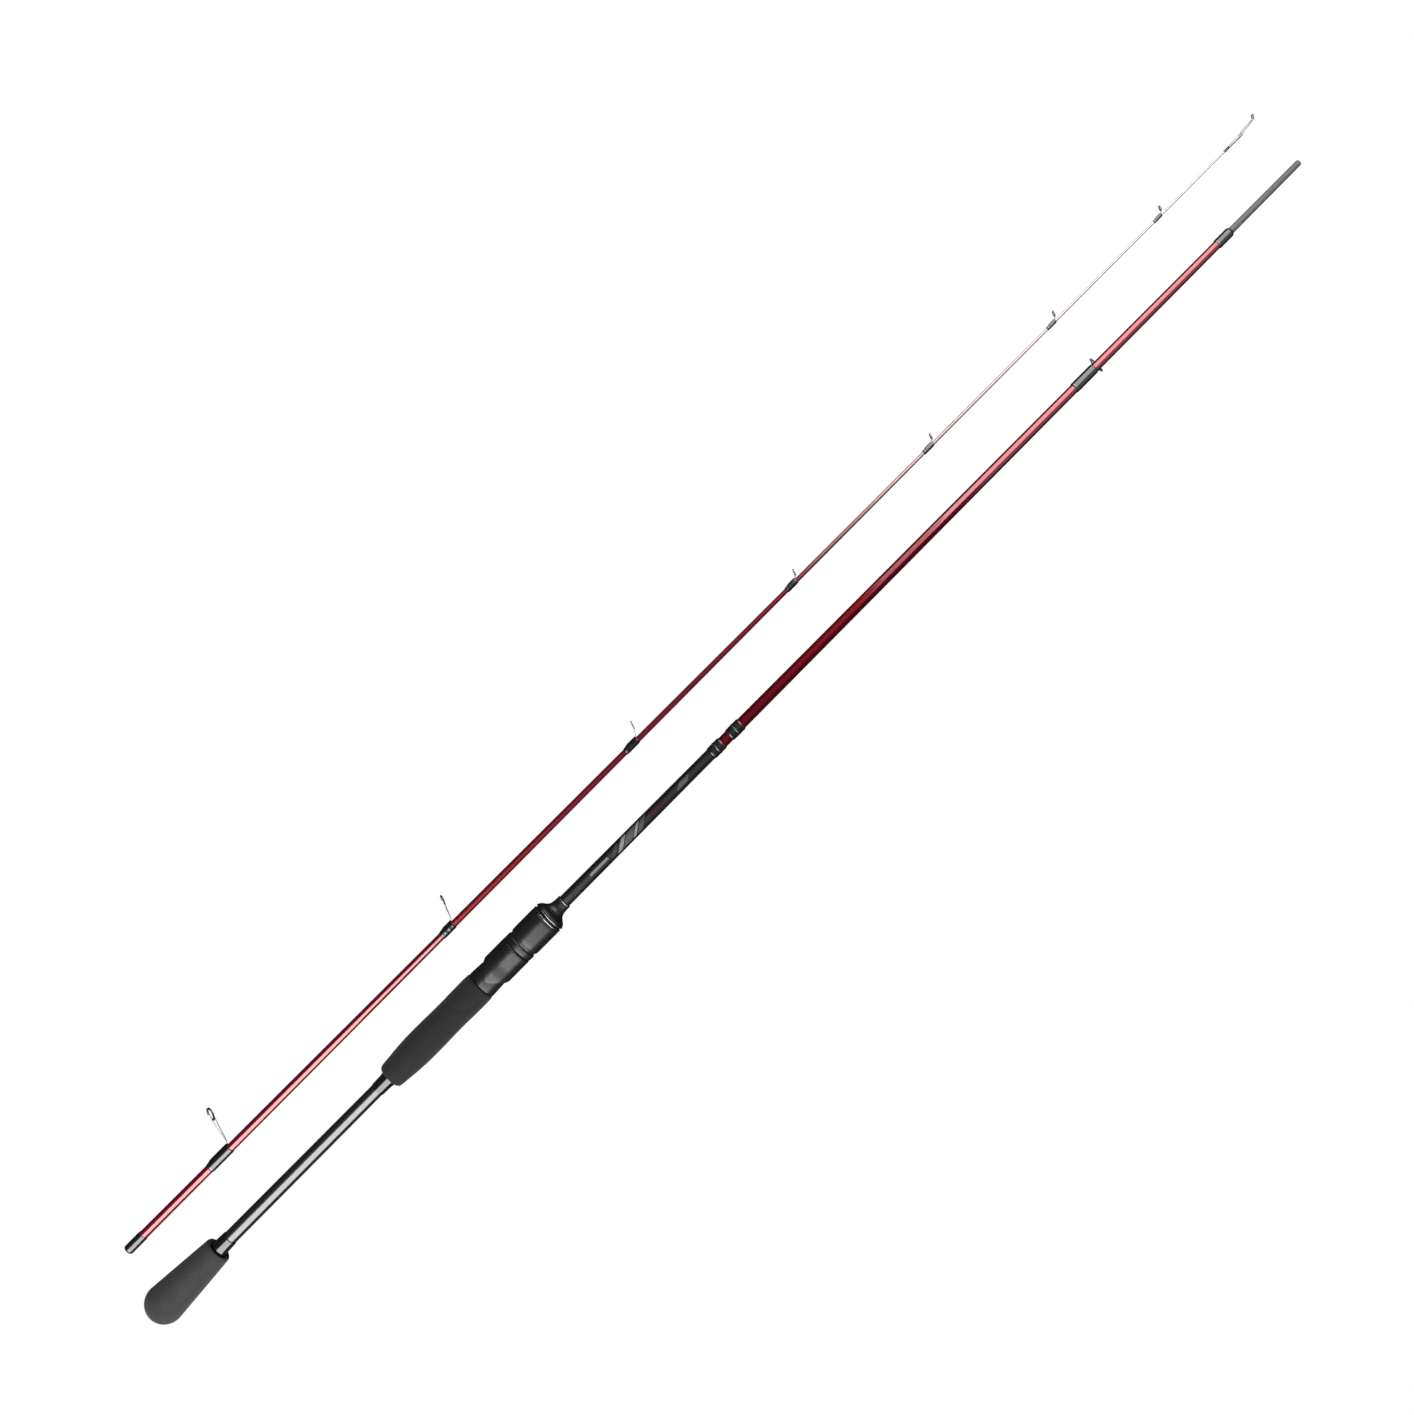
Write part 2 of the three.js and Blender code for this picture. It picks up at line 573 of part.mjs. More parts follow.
function buttSection() {
  const section = new THREE.Group();
  add(section, "butt_blank", buttBlank(), CRIMSON);
  add(section, "spigot", spigot(), GRAPHITE);
  add(section, "butt_ferrule_wrap", plainWrap(BUTT_TAPER, BUTT_FERRULE_WRAP, WRAP.ferrule), EPOXY_WRAP);
  addHandle(section);
  addReelSeat(section);
  addNose(section);
  for (const [place, stations] of Object.entries(DECOR_WRAPS)) addDecorWrap(section, place, stations);
  const below = new THREE.Group();
  below.rotation.x = Math.PI;
  addGuide(below, "stripper_guide", STRIPPER, BUTT_TAPER);
  section.add(below);
  section.rotation.y = -PITCH;
  return section;
}

function tipSection() {
  const section = new THREE.Group();
  add(section, "tip_blank", tipBlank(), CRIMSON);
  add(section, "tip_ferrule_wrap", plainWrap(TIP_TAPER, TIP_FERRULE_WRAP, WRAP.tip), EPOXY_WRAP);
  TIP_GUIDES.forEach((guide, i) => addGuide(section, "guide_" + (i + 2), guide, TIP_TAPER));
  addTipTop(section);
  const { roll, pitch, yaw } = TIP_TURN;
  const turn = [roll, pitch, yaw].map((angle) => THREE.MathUtils.degToRad(angle));
  section.rotation.set(...turn, "ZYX");
  section.position.set(TIP_PLACE.x, TIP_PLACE.y, TIP_PLACE.z);
  return section;
}

// The butt section's own origin is on its axis at the grip's rear end, and it touches the table below.
function restingHeight(section) {
  section.updateMatrixWorld(true);
  return -new THREE.Box3().setFromObject(section, true).min.z;
}

function spinningRod() {
  const butt = buttSection();
  butt.position.z = restingHeight(butt);
  const layout = new THREE.Group();
  layout.add(butt, tipSection());
  layout.updateMatrixWorld(true);
  const bounds = new THREE.Box3().setFromObject(layout, true);
  const middle = bounds.getCenter(new THREE.Vector3());
  layout.position.set(-middle.x, -middle.y, -bounds.min.z);
  const rod = new THREE.Group();
  rod.add(layout);
  return rod;
}

export default spinningRod();
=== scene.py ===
"""A two-piece spinning rod taken apart, lying on a white table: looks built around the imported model.

Each half of the rod has a frame of its own: +X along the blank from butt to tip, and +Z towards the
reel and the guides. Shapes are given there in millimetres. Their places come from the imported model's
nodes.
"""

import math

import bmesh
import bpy
import numpy as np
from mathutils import Matrix, Vector


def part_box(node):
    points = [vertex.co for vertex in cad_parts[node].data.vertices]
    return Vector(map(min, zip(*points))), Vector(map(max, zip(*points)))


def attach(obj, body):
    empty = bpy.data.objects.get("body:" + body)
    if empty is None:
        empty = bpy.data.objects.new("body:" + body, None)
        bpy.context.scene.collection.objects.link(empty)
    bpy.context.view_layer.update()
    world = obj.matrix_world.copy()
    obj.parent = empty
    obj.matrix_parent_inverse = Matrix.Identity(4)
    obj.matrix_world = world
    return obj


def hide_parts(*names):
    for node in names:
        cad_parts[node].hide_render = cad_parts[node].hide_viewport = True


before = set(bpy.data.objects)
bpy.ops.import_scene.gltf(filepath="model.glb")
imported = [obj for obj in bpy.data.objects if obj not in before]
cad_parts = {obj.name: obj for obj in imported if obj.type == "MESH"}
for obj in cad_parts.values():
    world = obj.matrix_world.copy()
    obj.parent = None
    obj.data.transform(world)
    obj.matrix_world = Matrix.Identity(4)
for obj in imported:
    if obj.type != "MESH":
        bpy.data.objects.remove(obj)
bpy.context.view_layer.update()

MM = 0.001
FINE = 96  # points round a piece of handle size
THIN = 48  # points round a blank, wrap or ring
WELD = 1e-6  # metres: closer points become one


# ---- where things are ----


def centre(node):
    low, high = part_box(node)
    return (low + high) / 2


class Section:
    """One half of the rod, with the frame described at the top of this file."""

    def __init__(self, body, first, rear, front, ring):
        self.body = body
        start = centre(rear)
        along = (centre(front) - start).normalized()
        corners = [v.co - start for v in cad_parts[first].data.vertices]
        origin = start + along * min(c.dot(along) for c in corners)
        towards = centre(ring) - origin
        up = (towards - along * towards.dot(along)).normalized()
        self.matrix = Matrix((along, up.cross(along), up)).transposed().to_4x4()
        self.matrix.translation = origin

    def points(self, node):
        """A node's vertices in this section's frame."""
        inverse = self.matrix.inverted()
        return np.array([inverse @ v.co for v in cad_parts[node].data.vertices]) / MM

    def span(self, node):
        """A node's first and last station."""
        stations = self.points(node)[:, 0]
        return stations.min(), stations.max()

    def radius(self, node):
        """A round node's largest radius."""
        _, y, z = self.points(node).T
        return np.hypot(y, z).max()

    def taper(self, node):
        """A blank's outside, as stations and radii."""
        x, y, z = self.points(node).T
        stations = np.unique(np.round(x, 1))
        radii = [np.hypot(y, z)[abs(x - s) < 0.2].max() for s in stations]
        return stations, np.array(radii)


butt = Section("butt_section", "butt_grip", "nose_check", "butt_ferrule_wrap", "stripper_guide_ring")
tip = Section("tip_section", "tip_blank", "tip_ferrule_wrap", "tip_top_wrap", "guide_2_ring")


# ---- mesh helpers ----


def ramp(value, low, high):
    """0 below low, 1 above high, and smooth in between."""
    t = np.clip((value - low) / (high - low), 0, 1)
    return t * t * (3 - 2 * t)


def softened(outline, reach, steps=4):
    """An outline of [x, radius] points with its corners rounded off over reach mm."""
    points = [np.array(p, float) for p in outline]
    made = [points[0]]
    for before, corner, after in zip(points, points[1:], points[2:]):
        to_before, to_after = before - corner, after - corner
        cut = min(reach, np.hypot(*to_before) / 2.2, np.hypot(*to_after) / 2.2)
        a = corner + to_before / np.hypot(*to_before) * cut
        b = corner + to_after / np.hypot(*to_after) * cut
        for t in np.linspace(0, 1, steps + 1):
            made.append((1 - t) ** 2 * a + 2 * t * (1 - t) * corner + t * t * b)
    made.append(points[-1])
    return made


def curve_through(points, steps):
    """A smooth curve through points, by Catmull-Rom pieces of that many steps."""
    p = np.array(points, float)
    p = np.vstack([2 * p[0] - p[1], p, 2 * p[-1] - p[-2]])
    made = []
    for a, b, c, d in zip(p, p[1:], p[2:], p[3:]):
        for t in np.arange(steps) / steps:
            made.append(
                b + t * (c - a) / 2
                + t * t * (2 * a - 5 * b + 4 * c - d) / 2
                + t * t * t * (3 * b - a - 3 * c + d) / 2
            )
    made.append(p[-2])
    return np.array(made)


def round_angles(count):
    """Angles round the blank's axis, from the reel's side (+Z) towards +Y."""
    return np.linspace(0, 2 * math.pi, count, endpoint=False)


def round_rows(stations, radii, angles):
    """Rows of points at stations and radii, which may change round the axis."""
    x = np.broadcast_to(stations, np.broadcast_shapes(np.shape(stations), np.shape(radii)))
    x = x * np.ones_like(angles)
    r = radii * np.ones_like(angles)
    return np.stack([x, r * np.sin(angles), r * np.cos(angles)], axis=-1)


def turned(outline, sides=FINE):
    """Rows of a solid of revolution round +X."""
    x, r = np.array(outline, float).T
    return round_rows(x[:, None], r[:, None], round_angles(sides))


def tube_rows(path, radii, sides=12):
    """Rows of a wire along a path, closed at both ends."""
    path = np.array(path, float)
    radii = np.broadcast_to(radii, len(path)).copy()
    tangents = np.gradient(path, axis=0)
    side = np.cross(tangents[0], (0.0, 0.0, 1.0) if abs(tangents[0][2]) < 0.9 else (0.0, 1.0, 0.0))
    angles = round_angles(sides)[:, None]
    rows = [np.repeat(path[:1], sides, axis=0)]
    for point, tangent, radius in zip(path, tangents, radii):
        tangent = tangent / np.linalg.norm(tangent)
        side = side - tangent * side.dot(tangent)
        side = side / np.linalg.norm(side)
        rows.append(point + radius * (np.cos(angles) * side + np.sin(angles) * np.cross(tangent, side)))
    rows.append(np.repeat(path[-1:], sides, axis=0))
    return np.array(rows)


def add_patch(mesh, rows, around=True, along=False):
    """Quads through rows of points. around closes each row, and along joins the last row to the first."""
    m, n, _ = rows.shape
    grid = [[mesh.verts.new(Vector(p) * MM) for p in row] for row in rows]
    for i in range(m if along else m - 1):
        for j in range(n if around else n - 1):
            i2, j2 = (i + 1) % m, (j + 1) % n
            mesh.faces.new((grid[i][j], grid[i][j2], grid[i2][j2], grid[i2][j]))


def new_piece(name, section, fill, body=None, sharp=40):
    """An object whose mesh fill makes in a section's frame. It moves with body, or else the section's."""
    mesh = bmesh.new()
    fill(mesh)
    bmesh.ops.remove_doubles(mesh, verts=mesh.verts, dist=WELD)
    bmesh.ops.dissolve_degenerate(mesh, edges=mesh.edges, dist=1e-8)
    bmesh.ops.recalc_face_normals(mesh, faces=mesh.faces)
    data = bpy.data.meshes.new(name)
    mesh.to_mesh(data)
    mesh.free()
    data.shade_smooth()
    data.set_sharp_from_angle(angle=math.radians(sharp))
    piece = bpy.data.objects.new(name, data)
    bpy.context.scene.collection.objects.link(piece)
    piece.matrix_world = section.matrix
    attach(piece, body or section.body)
    return piece


def dress(piece, look, slot, *nodes):
    """Gives a piece its material and lets it stand for CAD nodes, which it hides. slot is not used."""
    piece.data.materials.append(look)
    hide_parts(*nodes)
    return piece


def lathe(name, section, outline, sides=FINE, body=None, closed=True):
    """A turned piece; a closed outline runs forwards outside and back along the bore."""
    rows = turned(outline, sides)
    return new_piece(name, section, lambda mesh: add_patch(mesh, rows, along=closed), body)


def thick_sheet(mesh, outer, inner):
    """A closed shell between two grids of points, open neither at its ends nor at its sides."""
    add_patch(mesh, outer, around=False)
    add_patch(mesh, inner[::-1], around=False)
    for edge in (0, -1):
        add_patch(mesh, np.stack([outer[edge], inner[edge]]), around=False)
        add_patch(mesh, np.stack([outer[:, edge], inner[:, edge]]), around=False)


def fuse(piece, voxel):
    """Melts a piece's overlapping parts into one skin with soft corners. voxel is in mm."""
    remesh = piece.modifiers.new("skin", "REMESH")
    remesh.mode = "VOXEL"
    remesh.voxel_size = voxel * MM
    smooth = piece.modifiers.new("soft", "SMOOTH")
    smooth.factor = 0.5
    smooth.iterations = 4
    bpy.context.view_layer.update()
    shown = piece.evaluated_get(bpy.context.evaluated_depsgraph_get())
    data = bpy.data.meshes.new_from_object(shown)
    piece.modifiers.clear()
    piece.data = data
    data.shade_smooth()


def box_radius(angles, half_width, depth, power):
    """The distance from the axis to a rounded box on its +Z side, and 0 on the other side."""
    down = np.cos(angles)
    sides = (abs(np.sin(angles)) / half_width) ** power
    floor = (np.maximum(down, 1e-3) / depth) ** power
    return (sides + floor) ** (-1 / power) * (down > 0)


# ---- material helpers ----


def rgba(colour):
    """A colour for a socket: a tuple gets its alpha, and another node's output stays as it is."""
    return (*colour, 1.0) if isinstance(colour, tuple) else colour


class Look:
    """A procedural material: one Principled shader, and short calls for the nodes that feed it."""

    # The mix node's colour sockets, which share their names with its other kinds.
    MIX_SHARE, MIX_A, MIX_B, MIX_RESULT = 0, 6, 7, 2

    def __init__(self, name, **settings):
        self.material = bpy.data.materials.new(name)
        self.material.use_nodes = True
        self.tree = self.material.node_tree
        self.shader = self.tree.nodes["Principled BSDF"]
        for socket, value in settings.items():
            self.shader.inputs[socket.replace("_", " ")].default_value = value
        scaled = self.node("ShaderNodeVectorMath", operation="SCALE")
        scaled.inputs["Scale"].default_value = 1 / MM
        self.tree.links.new(self.node("ShaderNodeTexCoord").outputs["Object"], scaled.inputs[0])
        self.place = scaled.outputs[0]  # in mm, in the section's frame
        parts = self.node("ShaderNodeSeparateXYZ")
        self.tree.links.new(self.place, parts.inputs[0])
        self.x, self.y, self.z = parts.outputs

    def node(self, kind, **settings):
        made = self.tree.nodes.new(kind)
        for name, value in settings.items():
            setattr(made, name, value)
        return made

    def feed(self, socket, value):
        if isinstance(value, bpy.types.NodeSocket):
            self.tree.links.new(value, socket)
        else:
            socket.default_value = value

    def math(self, operation, a, b=0.0, clamp=False):
        made = self.node("ShaderNodeMath", operation=operation, use_clamp=clamp)
        self.feed(made.inputs[0], a)
        self.feed(made.inputs[1], b)
        return made.outputs[0]

    def scaled_place(self, x, y, z):
        made = self.node("ShaderNodeVectorMath", operation="MULTIPLY")
        self.tree.links.new(self.place, made.inputs[0])
        made.inputs[1].default_value = (x, y, z)
        return made.outputs[0]

    def noise(self, scale, detail=3.0, place=None):
        made = self.node("ShaderNodeTexNoise")
        self.tree.links.new(place or self.place, made.inputs["Vector"])
        made.inputs["Scale"].default_value = scale
        made.inputs["Detail"].default_value = detail
        return made.outputs["Fac"]

    def cells(self, scale):
        made = self.node("ShaderNodeTexVoronoi")
        self.tree.links.new(self.place, made.inputs["Vector"])
        made.inputs["Scale"].default_value = scale
        return made.outputs["Distance"]

    def spread(self, value, low, high, to_low=0.0, to_high=1.0):
        """Maps low..high of a value to to_low..to_high, clamped."""
        made = self.node("ShaderNodeMapRange")
        self.feed(made.inputs["Value"], value)
        ends = {"From Min": low, "From Max": high, "To Min": to_low, "To Max": to_high}
        for name, number in ends.items():
            made.inputs[name].default_value = number
        return made.outputs["Result"]

    def mix(self, share, a, b):
        """Colour a where share is 0 and colour b where it is 1."""
        made = self.node("ShaderNodeMix", data_type="RGBA")
        self.feed(made.inputs[self.MIX_SHARE], share)
        self.feed(made.inputs[self.MIX_A], rgba(a))
        self.feed(made.inputs[self.MIX_B], rgba(b))
        return made.outputs[self.MIX_RESULT]

    def angle(self):
        """The angle round the axis from the side that faces away from the reel, in radians."""
        return self.math("ARCTAN2", self.y, self.math("MULTIPLY", self.z, -1.0))

    def attribute(self, name):
        made = self.node("ShaderNodeAttribute", attribute_name=name)
        return made.outputs["Fac"]

    def bump(self, height, depth, strength=1.0):
        """Surface relief of that depth in mm."""
        made = self.node("ShaderNodeBump")
        made.inputs["Strength"].default_value = strength
        made.inputs["Distance"].default_value = depth * MM
        self.tree.links.new(height, made.inputs["Height"])
        self.tree.links.new(made.outputs[0], self.shader.inputs["Normal"])

    def colour(self, value):
        self.feed(self.shader.inputs["Base Color"], rgba(value))

    def roughness(self, value):
        self.feed(self.shader.inputs["Roughness"], value)

    def metallic(self, value):
        self.feed(self.shader.inputs["Metallic"], value)


# ---- materials ----


def foam_look(name, shade):
    """Closed-cell foam: matt, finely pored, slightly uneven in tone, with painted shade in its pores."""
    look = Look(name, Sheen_Weight=0.1, Sheen_Roughness=0.5, Specular_IOR_Level=0.25)
    pores_and_shade = look.spread(look.cells(2.6), 0.0, 0.45)
    mottle = look.noise(0.18, 2.0)
    dark, light = (shade * 0.85,) * 3, (shade * 1.15,) * 3
    skin = look.mix(look.spread(mottle, 0.3, 0.7), dark, light)
    # The pores are painted darker: painted shade in their pits.
    look.colour(look.mix(look.spread(pores_and_shade, 0.0, 0.5, 0.5, 0.0), skin, (shade * 0.4,) * 3))
    look.roughness(look.spread(look.noise(1.1), 0.3, 0.7, 0.82, 0.95))
    look.bump(look.math("ADD", pores_and_shade, look.noise(6.0)), 0.09, 0.7)
    return look.material


def black_lacquer_look():
    """The handle's gloss black blank, with a plain geometric pattern ahead of the reel seat."""
    look = Look("black_lacquer", Coat_Weight=1.0, Coat_Roughness=0.04, Coat_IOR=1.55)
    blank_radius_there = 4.3
    arc = look.math("MULTIPLY", look.angle(), blank_radius_there)
    shade = look.mix(weave_mask(look, 3.2), (0.004, 0.004, 0.0045), (0.022, 0.022, 0.0225))
    for start, end, half, slant, colour in PATTERN:
        shade = look.mix(bar_mask(look, arc, start, end, half, slant), shade, colour)
    look.colour(shade)
    look.roughness(0.3)
    return look.material


# The pattern's bars: first and last station, half width round the blank, slant, colour.
PATTERN = [
    (425.5, 442.5, 1.0, 0.0, (0.16, 0.16, 0.163)),
    (447.0, 451.0, 3.0, 1.3, (0.035, 0.035, 0.036)),
    (453.5, 458.0, 3.4, 1.3, (0.20, 0.20, 0.205)),
    (459.0, 467.0, 3.4, 1.3, (0.075, 0.075, 0.077)),
    (468.0, 471.0, 3.4, 1.3, (0.20, 0.20, 0.205)),
    (472.0, 477.0, 3.4, 1.3, (0.060, 0.060, 0.062)),
    (483.0, 496.0, 1.6, 1.3, (0.030, 0.008, 0.010)),
    (509.5, 519.5, 1.8, 1.3, (0.070, 0.070, 0.072)),
]


def bar_mask(look, arc, start, end, half, slant):
    """1 inside a slanted bar on the side that faces away from the reel."""
    soft = 0.12  # the width of its edges
    along = look.math("ADD", look.x, look.math("MULTIPLY", arc, slant))
    begun = look.spread(along, start, start + soft)
    unended = look.spread(along, end, end - soft)
    wide = look.spread(look.math("ABSOLUTE", arc), half, half - soft)
    return look.math("MULTIPLY", look.math("MULTIPLY", begun, unended), wide)


def weave_mask(look, pitch):
    """Fine crossing helical bands, as carbon tape leaves under lacquer."""
    turn = look.math("MULTIPLY", look.angle(), 2.0)
    run = look.math("MULTIPLY", look.x, 2 * math.pi / pitch)
    one = look.math("SINE", look.math("ADD", run, turn))
    other = look.math("SINE", look.math("SUBTRACT", run, turn))
    return look.spread(look.math("MULTIPLY", one, other), -0.6, 0.6)


def crimson_look(name, metallic, fades):
    """Candy red: a metallic red ground under clear lacquer, with carbon tape showing faintly.

    Where it fades, it turns to wine red, and then to a pale greyish pink towards the slim solid tip.
    """
    look = Look(name, Coat_Weight=1.0, Coat_Roughness=0.06, Coat_IOR=1.65, Metallic=metallic)
    ground = look.mix(weave_mask(look, 5.0), (0.135, 0.0015, 0.006), (0.18, 0.0022, 0.008))
    flake = look.spread(look.noise(9.0, 1.0), 0.35, 0.75)
    red = look.mix(flake, ground, (0.27, 0.006, 0.015))
    if fades:
        wine, pale_end = (0.20, 0.007, 0.026), (0.46, 0.41, 0.41)
        red = look.mix(look.spread(look.x, 400.0, 540.0), red, wine)
        red = look.mix(look.spread(look.x, 640.0, 1010.0), red, pale_end)
    look.colour(red)
    look.roughness(look.spread(look.noise(3.0), 0.3, 0.7, 0.33, 0.41))
    return look.material


def graphite_look():
    """Bare graphite, sanded round and round to fit its socket."""
    look = Look("graphite", Specular_IOR_Level=0.4)
    rings = look.noise(1.0, 4.0, look.scaled_place(5.0, 0.3, 0.3))
    look.colour(look.mix(look.spread(rings, 0.3, 0.7), (0.075, 0.075, 0.073), (0.115, 0.115, 0.11)))
    look.roughness(look.spread(rings, 0.3, 0.7, 0.42, 0.58))
    look.bump(rings, 0.02, 0.6)
    return look.material


def seat_look():
    """Satin moulded plastic with a fine spark texture."""
    look = Look("seat_plastic", Specular_IOR_Level=0.6)
    cloud = look.noise(0.12, 2.0)
    look.colour(look.mix(cloud, (0.006, 0.006, 0.0065), (0.011, 0.011, 0.0115)))
    look.roughness(look.spread(look.noise(1.5), 0.3, 0.7, 0.30, 0.38))
    look.bump(look.noise(4.5, 2.0), 0.01, 0.3)
    return look.material


def gloss_black_look():
    """Polished black trim."""
    look = Look("gloss_trim", Coat_Weight=0.6, Coat_Roughness=0.05)
    look.colour(look.mix(look.noise(0.5), (0.004, 0.004, 0.004), (0.008, 0.008, 0.008)))
    look.roughness(look.spread(look.noise(2.0), 0.3, 0.7, 0.14, 0.24))
    return look.material


def silver_look():
    """Bright turned metal with fine tool rings."""
    look = Look("turned_silver", Metallic=1.0)
    rings = look.noise(1.0, 3.0, look.scaled_place(14.0, 0.4, 0.4))
    look.colour(look.mix(look.spread(rings, 0.3, 0.7), (0.30, 0.30, 0.31), (0.42, 0.42, 0.43)))
    look.roughness(look.spread(rings, 0.3, 0.7, 0.26, 0.36))
    look.bump(rings, 0.01, 0.5)
    return look.material


def steel_look():
    """The guides' polished gunmetal."""
    look = Look("guide_steel", Metallic=0.6)
    cloud = look.noise(0.25, 2.0)
    look.colour(look.mix(look.spread(cloud, 0.3, 0.7), (0.27, 0.275, 0.285), (0.35, 0.355, 0.365)))
    look.roughness(look.spread(look.noise(2.0), 0.3, 0.7, 0.22, 0.28))
    look.bump(look.noise(0.8, 1.0), 0.004, 0.2)
    return look.material


def ceramic_look():
    """The line rings' polished grey ceramic."""
    look = Look("ring_ceramic", Coat_Weight=0.5, Coat_Roughness=0.03)
    look.colour(look.mix(look.noise(1.2), (0.030, 0.031, 0.034), (0.050, 0.051, 0.055)))
    look.roughness(look.spread(look.noise(4.0), 0.3, 0.7, 0.08, 0.16))
    return look.material


def cushion_look():
    """Dull dark rubber."""
    look = Look("cushion_rubber", Specular_IOR_Level=0.3)
    look.colour(look.mix(look.noise(0.8), (0.020, 0.020, 0.020), (0.032, 0.032, 0.032)))
    look.roughness(0.8)
    look.bump(look.noise(5.0), 0.04, 0.5)
    return look.material


def filler_look():
    """Ground cork and resin."""
    look = Look("arbor_filler")
    grain = look.spread(look.cells(0.7), 0.1, 0.9)
    look.colour(look.mix(grain, (0.30, 0.22, 0.13), (0.12, 0.08, 0.05)))
    look.roughness(0.85)
    look.bump(grain, 0.1, 0.6)
    return look.material


def wrap_look(name, trim):
    """Black thread under clear epoxy. trim is the colour of the metallic thread near its ends."""
    look = Look(name, Coat_Weight=1.0, Coat_Roughness=0.05, Coat_IOR=1.55, Specular_IOR_Level=0.35)
    thread_pitch = 0.22
    threads = look.math("SINE", look.math("MULTIPLY", look.x, 2 * math.pi / thread_pitch))
    black = look.mix(look.spread(threads, -1, 1), (0.003, 0.003, 0.0035), (0.010, 0.010, 0.011))
    metallic = look.attribute("trim")
    look.colour(look.mix(metallic, black, trim))
    look.metallic(metallic)
    look.roughness(look.spread(look.noise(2.0), 0.3, 0.7, 0.28, 0.40))
    look.bump(threads, 0.012, 0.5)
    return look.material


FOAM = foam_look("foam", 0.020)
# The rear grip's foam is the same foam painted darker: painted shade for the dimmer light there.
FRONT_FOAM_PAINTED_SHADE = foam_look("front_foam_painted_shade", 0.009)
BLACK = black_lacquer_look()
CRIMSON = crimson_look("crimson_lacquer", 0.85, False)
CRIMSON_TIP = crimson_look("crimson_tip_lacquer", 0.55, True)
GRAPHITE = graphite_look()
SEAT = seat_look()
GLOSS_BLACK = gloss_black_look()
SILVER = silver_look()
STEEL = steel_look()
CERAMIC = ceramic_look()
CUSHION = cushion_look()
FILLER = filler_look()
WRAP = wrap_look("wrap_epoxy", (0.11, 0.10, 0.103))


# ---- grips and their collars ----


def butt_grip():
    """A foam knob with a domed end, which narrows to a rounded lip round a recessed front face."""
    start, end = butt.span("butt_grip")
    start, end = start + 1.8, end - 1.6
    big = butt.radius("butt_grip")
    blank = butt.radius("butt_blank") + 0.05
    crown, front = start + 13.0, end - 1.2
    dome = [
        (start + (crown - start) * (1 - math.cos(a)), big * math.sin(a))
        for a in np.linspace(0, math.pi / 2, 20)
    ]
    side = curve_through([(crown, big), (crown + 30, big * 0.825), (front - 3, 10.05), (front, 9.8)], 8)
    face = softened([(front, 9.8), (end, 9.3), (end, 7.9), (end - 1.4, 7.3), (end - 1.8, 6.4)], 0.7)
    bore = [(end - 1.8, blank), (start + 5, blank), (start + 5, 0)]
    outline = [*dome, *side[1:], *face[1:], *bore]
    piece = lathe("foam_butt_grip", butt, outline, closed=False)
    dress(piece, FOAM, "grip_foam", "butt_grip")


def rear_grip():
    """A foam sleeve over the blank and the seat's back, with a long opening for the reel foot."""
    start, end = butt.span("rear_grip")
    blank = 5.2
    seat = 8.6
    outside = curve_through(
        [
            (start, 8.4), (start + 1.4, 9.3), (start + 5, 9.8), (start + 9, 10.1),
            (start + 15, 10.7), (start + 20, 11.05), (start + 27, 11.4), (start + 42, 11.4),
            (start + 50, 11.2), (start + 61, 11.1), (start + 69, 11.3), (start + 81, 11.42),
            (end - 1.5, 11.2), (end - 0.3, 10.6),
        ],
        6,
    )
    back_face = softened([(start + 1.0, blank), (start + 0.4, 6.6), (start, 7.8), (start, 8.4)], 0.5)
    front_face = [(end, 10.2), (end, seat), (start + 30, seat), (start + 30, blank)]
    piece = lathe("foam_rear_grip", butt, [*back_face, *outside[1:], *front_face])
    opening = reel_opening(start + 35.8, end + 6)
    cut = piece.modifiers.new("opening", "BOOLEAN")
    cut.object = opening
    cut.operation = "DIFFERENCE"
    cut.solver = "EXACT"
    fuse(piece, 0.4)
    bpy.data.objects.remove(opening)
    # The rear grip wears the darker copy of the foam: painted shade.
    dress(piece, FRONT_FOAM_PAINTED_SHADE, "grip_foam", "rear_grip")


def reel_opening(start, end):
    """A tool with a round rear end that cuts the reel foot's opening into the rear grip."""
    half, depth, bulge = 8.2, 14.0, 3.5
    bend = np.linspace(0, math.pi, 24)
    outline = [(start + bulge * (1 - math.sin(a)), half * math.cos(a)) for a in bend]
    outline = [(end, half), *outline, (end, -half)]
    rows = np.array([[(x, y, z) for x, y in outline] for z in (0.0, depth)])

    def fill(mesh):
        add_patch(mesh, rows)
        for row in rows:
            middle = ((start + end) / 2, 0.0, row[0, 2])
            add_patch(mesh, np.stack([np.broadcast_to(middle, row.shape), row]))

    return new_piece("opening_tool", butt, fill)


def collars():
    """The glossy collars in front of the butt grip and behind the rear grip."""
    start, end = butt.span("butt_grip_check")
    blank = 5.02
    outline = [
        (start - 3.2, blank), (start - 3.2, 6.3), (start - 1, 6.25), (start + 1.2, 5.75),
        (end - 0.6, 5.45), (end, 5.2), (end, blank),
    ]
    piece = lathe("butt_collar", butt, softened(outline, 0.35))
    dress(piece, GLOSS_BLACK, "black_trim", "butt_grip_check")
    start, end = butt.span("rear_grip_check")
    outline = [
        (start, blank - 0.2), (start, 5.0), (start + 1.0, 5.15), (start + 8, 5.35),
        (end - 1.4, 5.75), (end + 0.4, 6.1), (end + 0.4, blank - 0.2),
    ]
    piece = lathe("rear_collar", butt, softened(outline, 0.35))
    dress(piece, GLOSS_BLACK, "black_trim", "rear_grip_check")


# ---- blanks and ferrule ----

BORE_RATIO = 0.76  # a blank's bore over its outside
TIP_BORE_END = 830.0  # the tip blank is solid from here on
ROW_STEP = 4.0


def blank_radius(section, node, station):
    stations, radii = section.taper(node)
    return np.interp(station, stations, radii)


